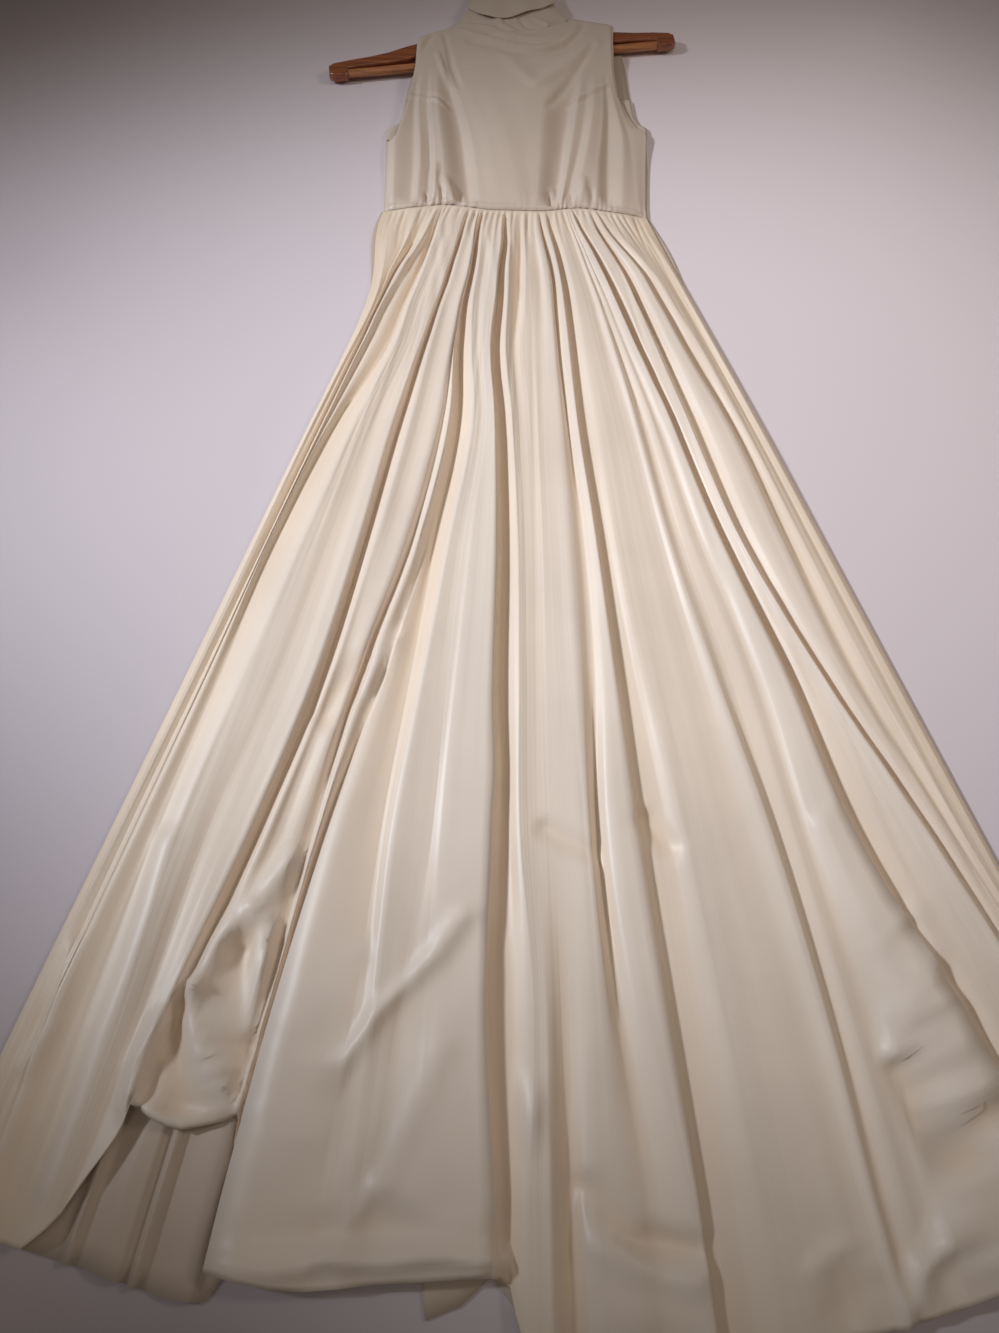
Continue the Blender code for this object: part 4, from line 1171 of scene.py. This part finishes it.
def varnished_wood(name, colour):
    """Varnished beech with its grain along the hanger."""
    made, nodes, links, shader = new_material(name)
    place = nodes.new("ShaderNodeTexCoord")
    turned = nodes.new("ShaderNodeMapping")
    turned.inputs["Rotation"].default_value = (0, 0, -HANGER_TILT)
    turned.inputs["Scale"].default_value = (6, 90, 90)
    grain = noise_node(nodes, 3, 6)
    tone = tone_node(nodes, colour, 0.6, 1.2, 0.3, 0.65)
    links.new(place.outputs["Object"], turned.inputs["Vector"])
    links.new(turned.outputs["Vector"], grain.inputs["Vector"])
    links.new(grain.outputs["Fac"], tone.inputs["Fac"])
    links.new(tone.outputs["Color"], shader.inputs["Base Color"])
    shader.inputs["Roughness"].default_value = 0.35
    shader.inputs["Coat Weight"].default_value = 0.4
    shader.inputs["Coat Roughness"].default_value = 0.2
    return made


def hook_steel(name, colour):
    """Bright steel wire, unevenly polished."""
    made, nodes, links, shader = new_material(name)
    place = nodes.new("ShaderNodeTexCoord")
    brushed = noise_node(nodes, 700)
    rough = nodes.new("ShaderNodeMapRange")
    rough.inputs["To Min"].default_value = 0.2
    rough.inputs["To Max"].default_value = 0.4
    links.new(place.outputs["Object"], brushed.inputs["Vector"])
    links.new(brushed.outputs["Fac"], rough.inputs["Value"])
    links.new(rough.outputs["Result"], shader.inputs["Roughness"])
    shader.inputs["Base Color"].default_value = (*colour, 1)
    shader.inputs["Metallic"].default_value = 1
    return made


def floor_finish(colour):
    """A pale painted floor, with a faint random tone and painted light and shade in patches."""
    made, nodes, links, shader = new_material("pale_floor")
    place = nodes.new("ShaderNodeTexCoord")
    cloudy = noise_node(nodes, 1.4)
    tone = tone_node(nodes, colour, 0.95, 1.04)
    links.new(place.outputs["Object"], cloudy.inputs["Vector"])
    links.new(cloudy.outputs["Fac"], tone.inputs["Fac"])
    shade = tone.outputs["Color"]
    # Painted light and shade: each patch makes the floor lighter or darker
    for centre, reach, factor in FLOOR_LIGHT_AND_SHADE:
        moved = nodes.new("ShaderNodeMapping")
        moved.inputs["Location"].default_value = (-centre[0] / reach, -centre[1] / reach, 0)
        moved.inputs["Scale"].default_value = (1 / reach, 1 / reach, 1)
        painted_light_patch = nodes.new("ShaderNodeTexGradient")
        painted_light_patch.gradient_type = "QUADRATIC_SPHERE"
        strength = mix_node(nodes, "MIX")
        strength.inputs[MIX_FIRST].default_value = (1, 1, 1, 1)
        strength.inputs[MIX_SECOND].default_value = (*factor, 1)
        mixed = mix_node(nodes, "MULTIPLY")
        mixed.inputs[MIX_FACTOR].default_value = 1
        links.new(place.outputs["Object"], moved.inputs["Vector"])
        links.new(moved.outputs["Vector"], painted_light_patch.inputs["Vector"])
        links.new(painted_light_patch.outputs["Fac"], strength.inputs[MIX_FACTOR])
        links.new(shade, mixed.inputs[MIX_FIRST])
        links.new(strength.outputs[MIX_RESULT], mixed.inputs[MIX_SECOND])
        shade = mixed.outputs[MIX_RESULT]
    links.new(shade, shader.inputs["Base Color"])
    shader.inputs["Roughness"].default_value = 0.75
    return made


def cloth_finish():
    """The crepe of the bodice, the facings and the collar, in a darker cream that paints the shade on them.
    """
    return bpy.data.materials.get("cream_crepe") or crepe("cream_crepe", look().bodice_shaded_colour)


def skirt_finish():
    """The skirt's crepe, with its fine creases and painted warm shade in its low folds."""
    made = bpy.data.materials.get("cream_skirt")
    return made or crepe("cream_skirt", look().cloth_colour, 0.35, FOLD_SHADE_TINT)


def inside_finish():
    """The crepe's inner side, which shows on the back panels, in a darker cream that paints the shade there.
    """
    return bpy.data.materials.get("cream_inside") or crepe("cream_inside", look().inside_shaded_colour)


# The pieces, one operator each


def add_spot(name, place, target, angle, size, colour, power):
    """A soft round light that points at a target."""
    data = bpy.data.lights.new(name, "SPOT")
    data.spot_size = math.radians(angle)
    data.spot_blend = 1.0
    data.shadow_soft_size = size
    data.energy = power
    data.color = colour
    light = bpy.data.objects.new(name, data)
    light.location = place
    direction = Vector(target) - Vector(place)
    light.rotation_euler = direction.to_track_quat("-Z", "Y").to_euler()
    bpy.context.scene.collection.objects.link(light)


class DRESS_OT_stage(bpy.types.Operator):
    """Make the camera, the floor and the studio lights"""

    bl_idname = "dress.stage"
    bl_label = "Stage"

    def execute(self, context):
        settings = context.scene.dress_stage
        shift = world_shift()
        camera_data = bpy.data.cameras.new("camera")
        camera_data.sensor_width = SENSOR
        camera_data.lens = SENSOR * settings.focal_share
        camera = bpy.data.objects.new("camera", camera_data)
        place = (settings.camera_x + shift[0], settings.camera_y + shift[1], settings.camera_height)
        camera.location = place
        camera.rotation_euler = (settings.camera_tilt, 0, 0)
        context.scene.collection.objects.link(camera)
        context.scene.camera = camera
        floor_mesh = bpy.data.meshes.new("floor")
        signs = ((-1, -1), (1, -1), (1, 1), (-1, 1))
        corners = [(x * FLOOR_REACH, y * FLOOR_REACH, FLOOR_LOW) for x, y in signs]
        floor_mesh.from_pydata(corners, [], [(0, 1, 2, 3)])
        floor_mesh.materials.append(floor_finish(settings.floor_colour))
        floor = bpy.data.objects.new("floor", floor_mesh)
        context.scene.collection.objects.link(floor)
        for name, *light in LIGHTS:
            add_spot(name, *light, getattr(settings, f"{name}_power"))
        world = bpy.data.worlds.new("room")
        world.use_nodes = True
        backdrop = world.node_tree.nodes["Background"]
        backdrop.inputs["Color"].default_value = (*ROOM_COLOUR, 1)
        backdrop.inputs["Strength"].default_value = ROOM_STRENGTH
        context.scene.world = world
        context.scene.view_settings.view_transform = "Standard"
        return {"FINISHED"}


class DRESS_OT_skirt(bpy.types.Operator):
    """Make the skirt's front and back"""

    bl_idname = "dress.skirt"
    bl_label = "Skirt"

    def execute(self, context):
        columns = crease_columns(COLUMN_PITCH, LEAST_COLUMNS)
        surface = skirt_front_surface(columns, FRONT_ROWS)[::-1]
        front = cloth_piece("skirt_front_cloth", surface, skirt_finish(), "skirt_front")
        surface = skirt_back_surface(*BACK_GRID)[::-1]
        back = cloth_piece("skirt_back_cloth", surface, inside_finish(), "skirt_back", thickness=CAD_WALL)
        return {"FINISHED"}


class DRESS_OT_bodice(bpy.types.Operator):
    """Make the bodice's front and back and the armhole facings"""

    bl_idname = "dress.bodice"
    bl_label = "Bodice"

    def execute(self, context):
        surface = bodice_front_surface(BODICE_STEPS, BODICE_ROWS)
        front = cloth_piece("bodice_front_cloth", surface, cloth_finish(), "bodice_front")
        surface = bodice_back_surface(*BODICE_BACK_GRID)
        back = cloth_piece("bodice_back_cloth", surface, inside_finish(), "bodice_back", thickness=CAD_WALL)
        for side, right in (("left", False), ("right", True)):
            name = f"armhole_facing_{side}"
            strip = cloth_piece(f"{name}_cloth", facing_surface(right, *FACING_GRID), cloth_finish(), name)
        return {"FINISHED"}


class DRESS_OT_collar(bpy.types.Operator):
    """Make the turned-down collar"""

    bl_idname = "dress.collar"
    bl_label = "Collar"

    def execute(self, context):
        surface = collar_surface(*COLLAR_GRID)
        collar = cloth_piece("collar_cloth", surface, cloth_finish(), "collar", closed=True)
        return {"FINISHED"}


class DRESS_OT_hanger(bpy.types.Operator):
    """Make the hanger's rounded arms, and finish its bar and hook"""

    bl_idname = "dress.hanger"
    bl_label = "Hanger"

    def execute(self, context):
        settings = look()
        finishes = {
            "hanger_body": varnished_wood("varnished_arms", settings.wood_colour),
            "hanger_bar": varnished_wood("varnished_bar", settings.bar_colour),
            "hanger_hook": hook_steel("hook_wire", settings.steel_colour),
        }
        for name, finish in finishes.items():
            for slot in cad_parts[name].material_slots:
                slot.material = finish
        arms = bpy.data.objects.new("hanger_arms", arms_mesh())
        context.scene.collection.objects.link(arms)
        arms.data.materials.append(finishes["hanger_body"])
        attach(arms, "root")
        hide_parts("hanger_body")
        return {"FINISHED"}


class DRESS_PT_panel(bpy.types.Panel):
    """The pieces of the dress, in the order in which they are made"""

    bl_idname = "DRESS_PT_panel"
    bl_label = "Maxi dress"
    bl_space_type = "VIEW_3D"
    bl_region_type = "UI"
    bl_category = "Maxi dress"

    def draw(self, context):
        for name in DressLook.__annotations__:
            self.layout.prop(context.scene.dress_look, name)
        for name in DressStage.__annotations__:
            self.layout.prop(context.scene.dress_stage, name)
        for operator in OPERATORS:
            self.layout.operator(operator.bl_idname)


OPERATORS = (DRESS_OT_stage, DRESS_OT_skirt, DRESS_OT_bodice, DRESS_OT_collar, DRESS_OT_hanger)
CLASSES = (DressLook, DressStage, *OPERATORS, DRESS_PT_panel)


def register():
    for cls in CLASSES:
        bpy.utils.register_class(cls)
    bpy.types.Scene.dress_look = PointerProperty(type=DressLook)
    bpy.types.Scene.dress_stage = PointerProperty(type=DressStage)


def unregister():
    del bpy.types.Scene.dress_look
    del bpy.types.Scene.dress_stage
    for cls in reversed(CLASSES):
        bpy.utils.unregister_class(cls)


def main():
    register()
    bpy.ops.dress.stage()
    bpy.ops.dress.skirt()
    bpy.ops.dress.bodice()
    bpy.ops.dress.collar()
    bpy.ops.dress.hanger()


if __name__ == "__main__":
    main()
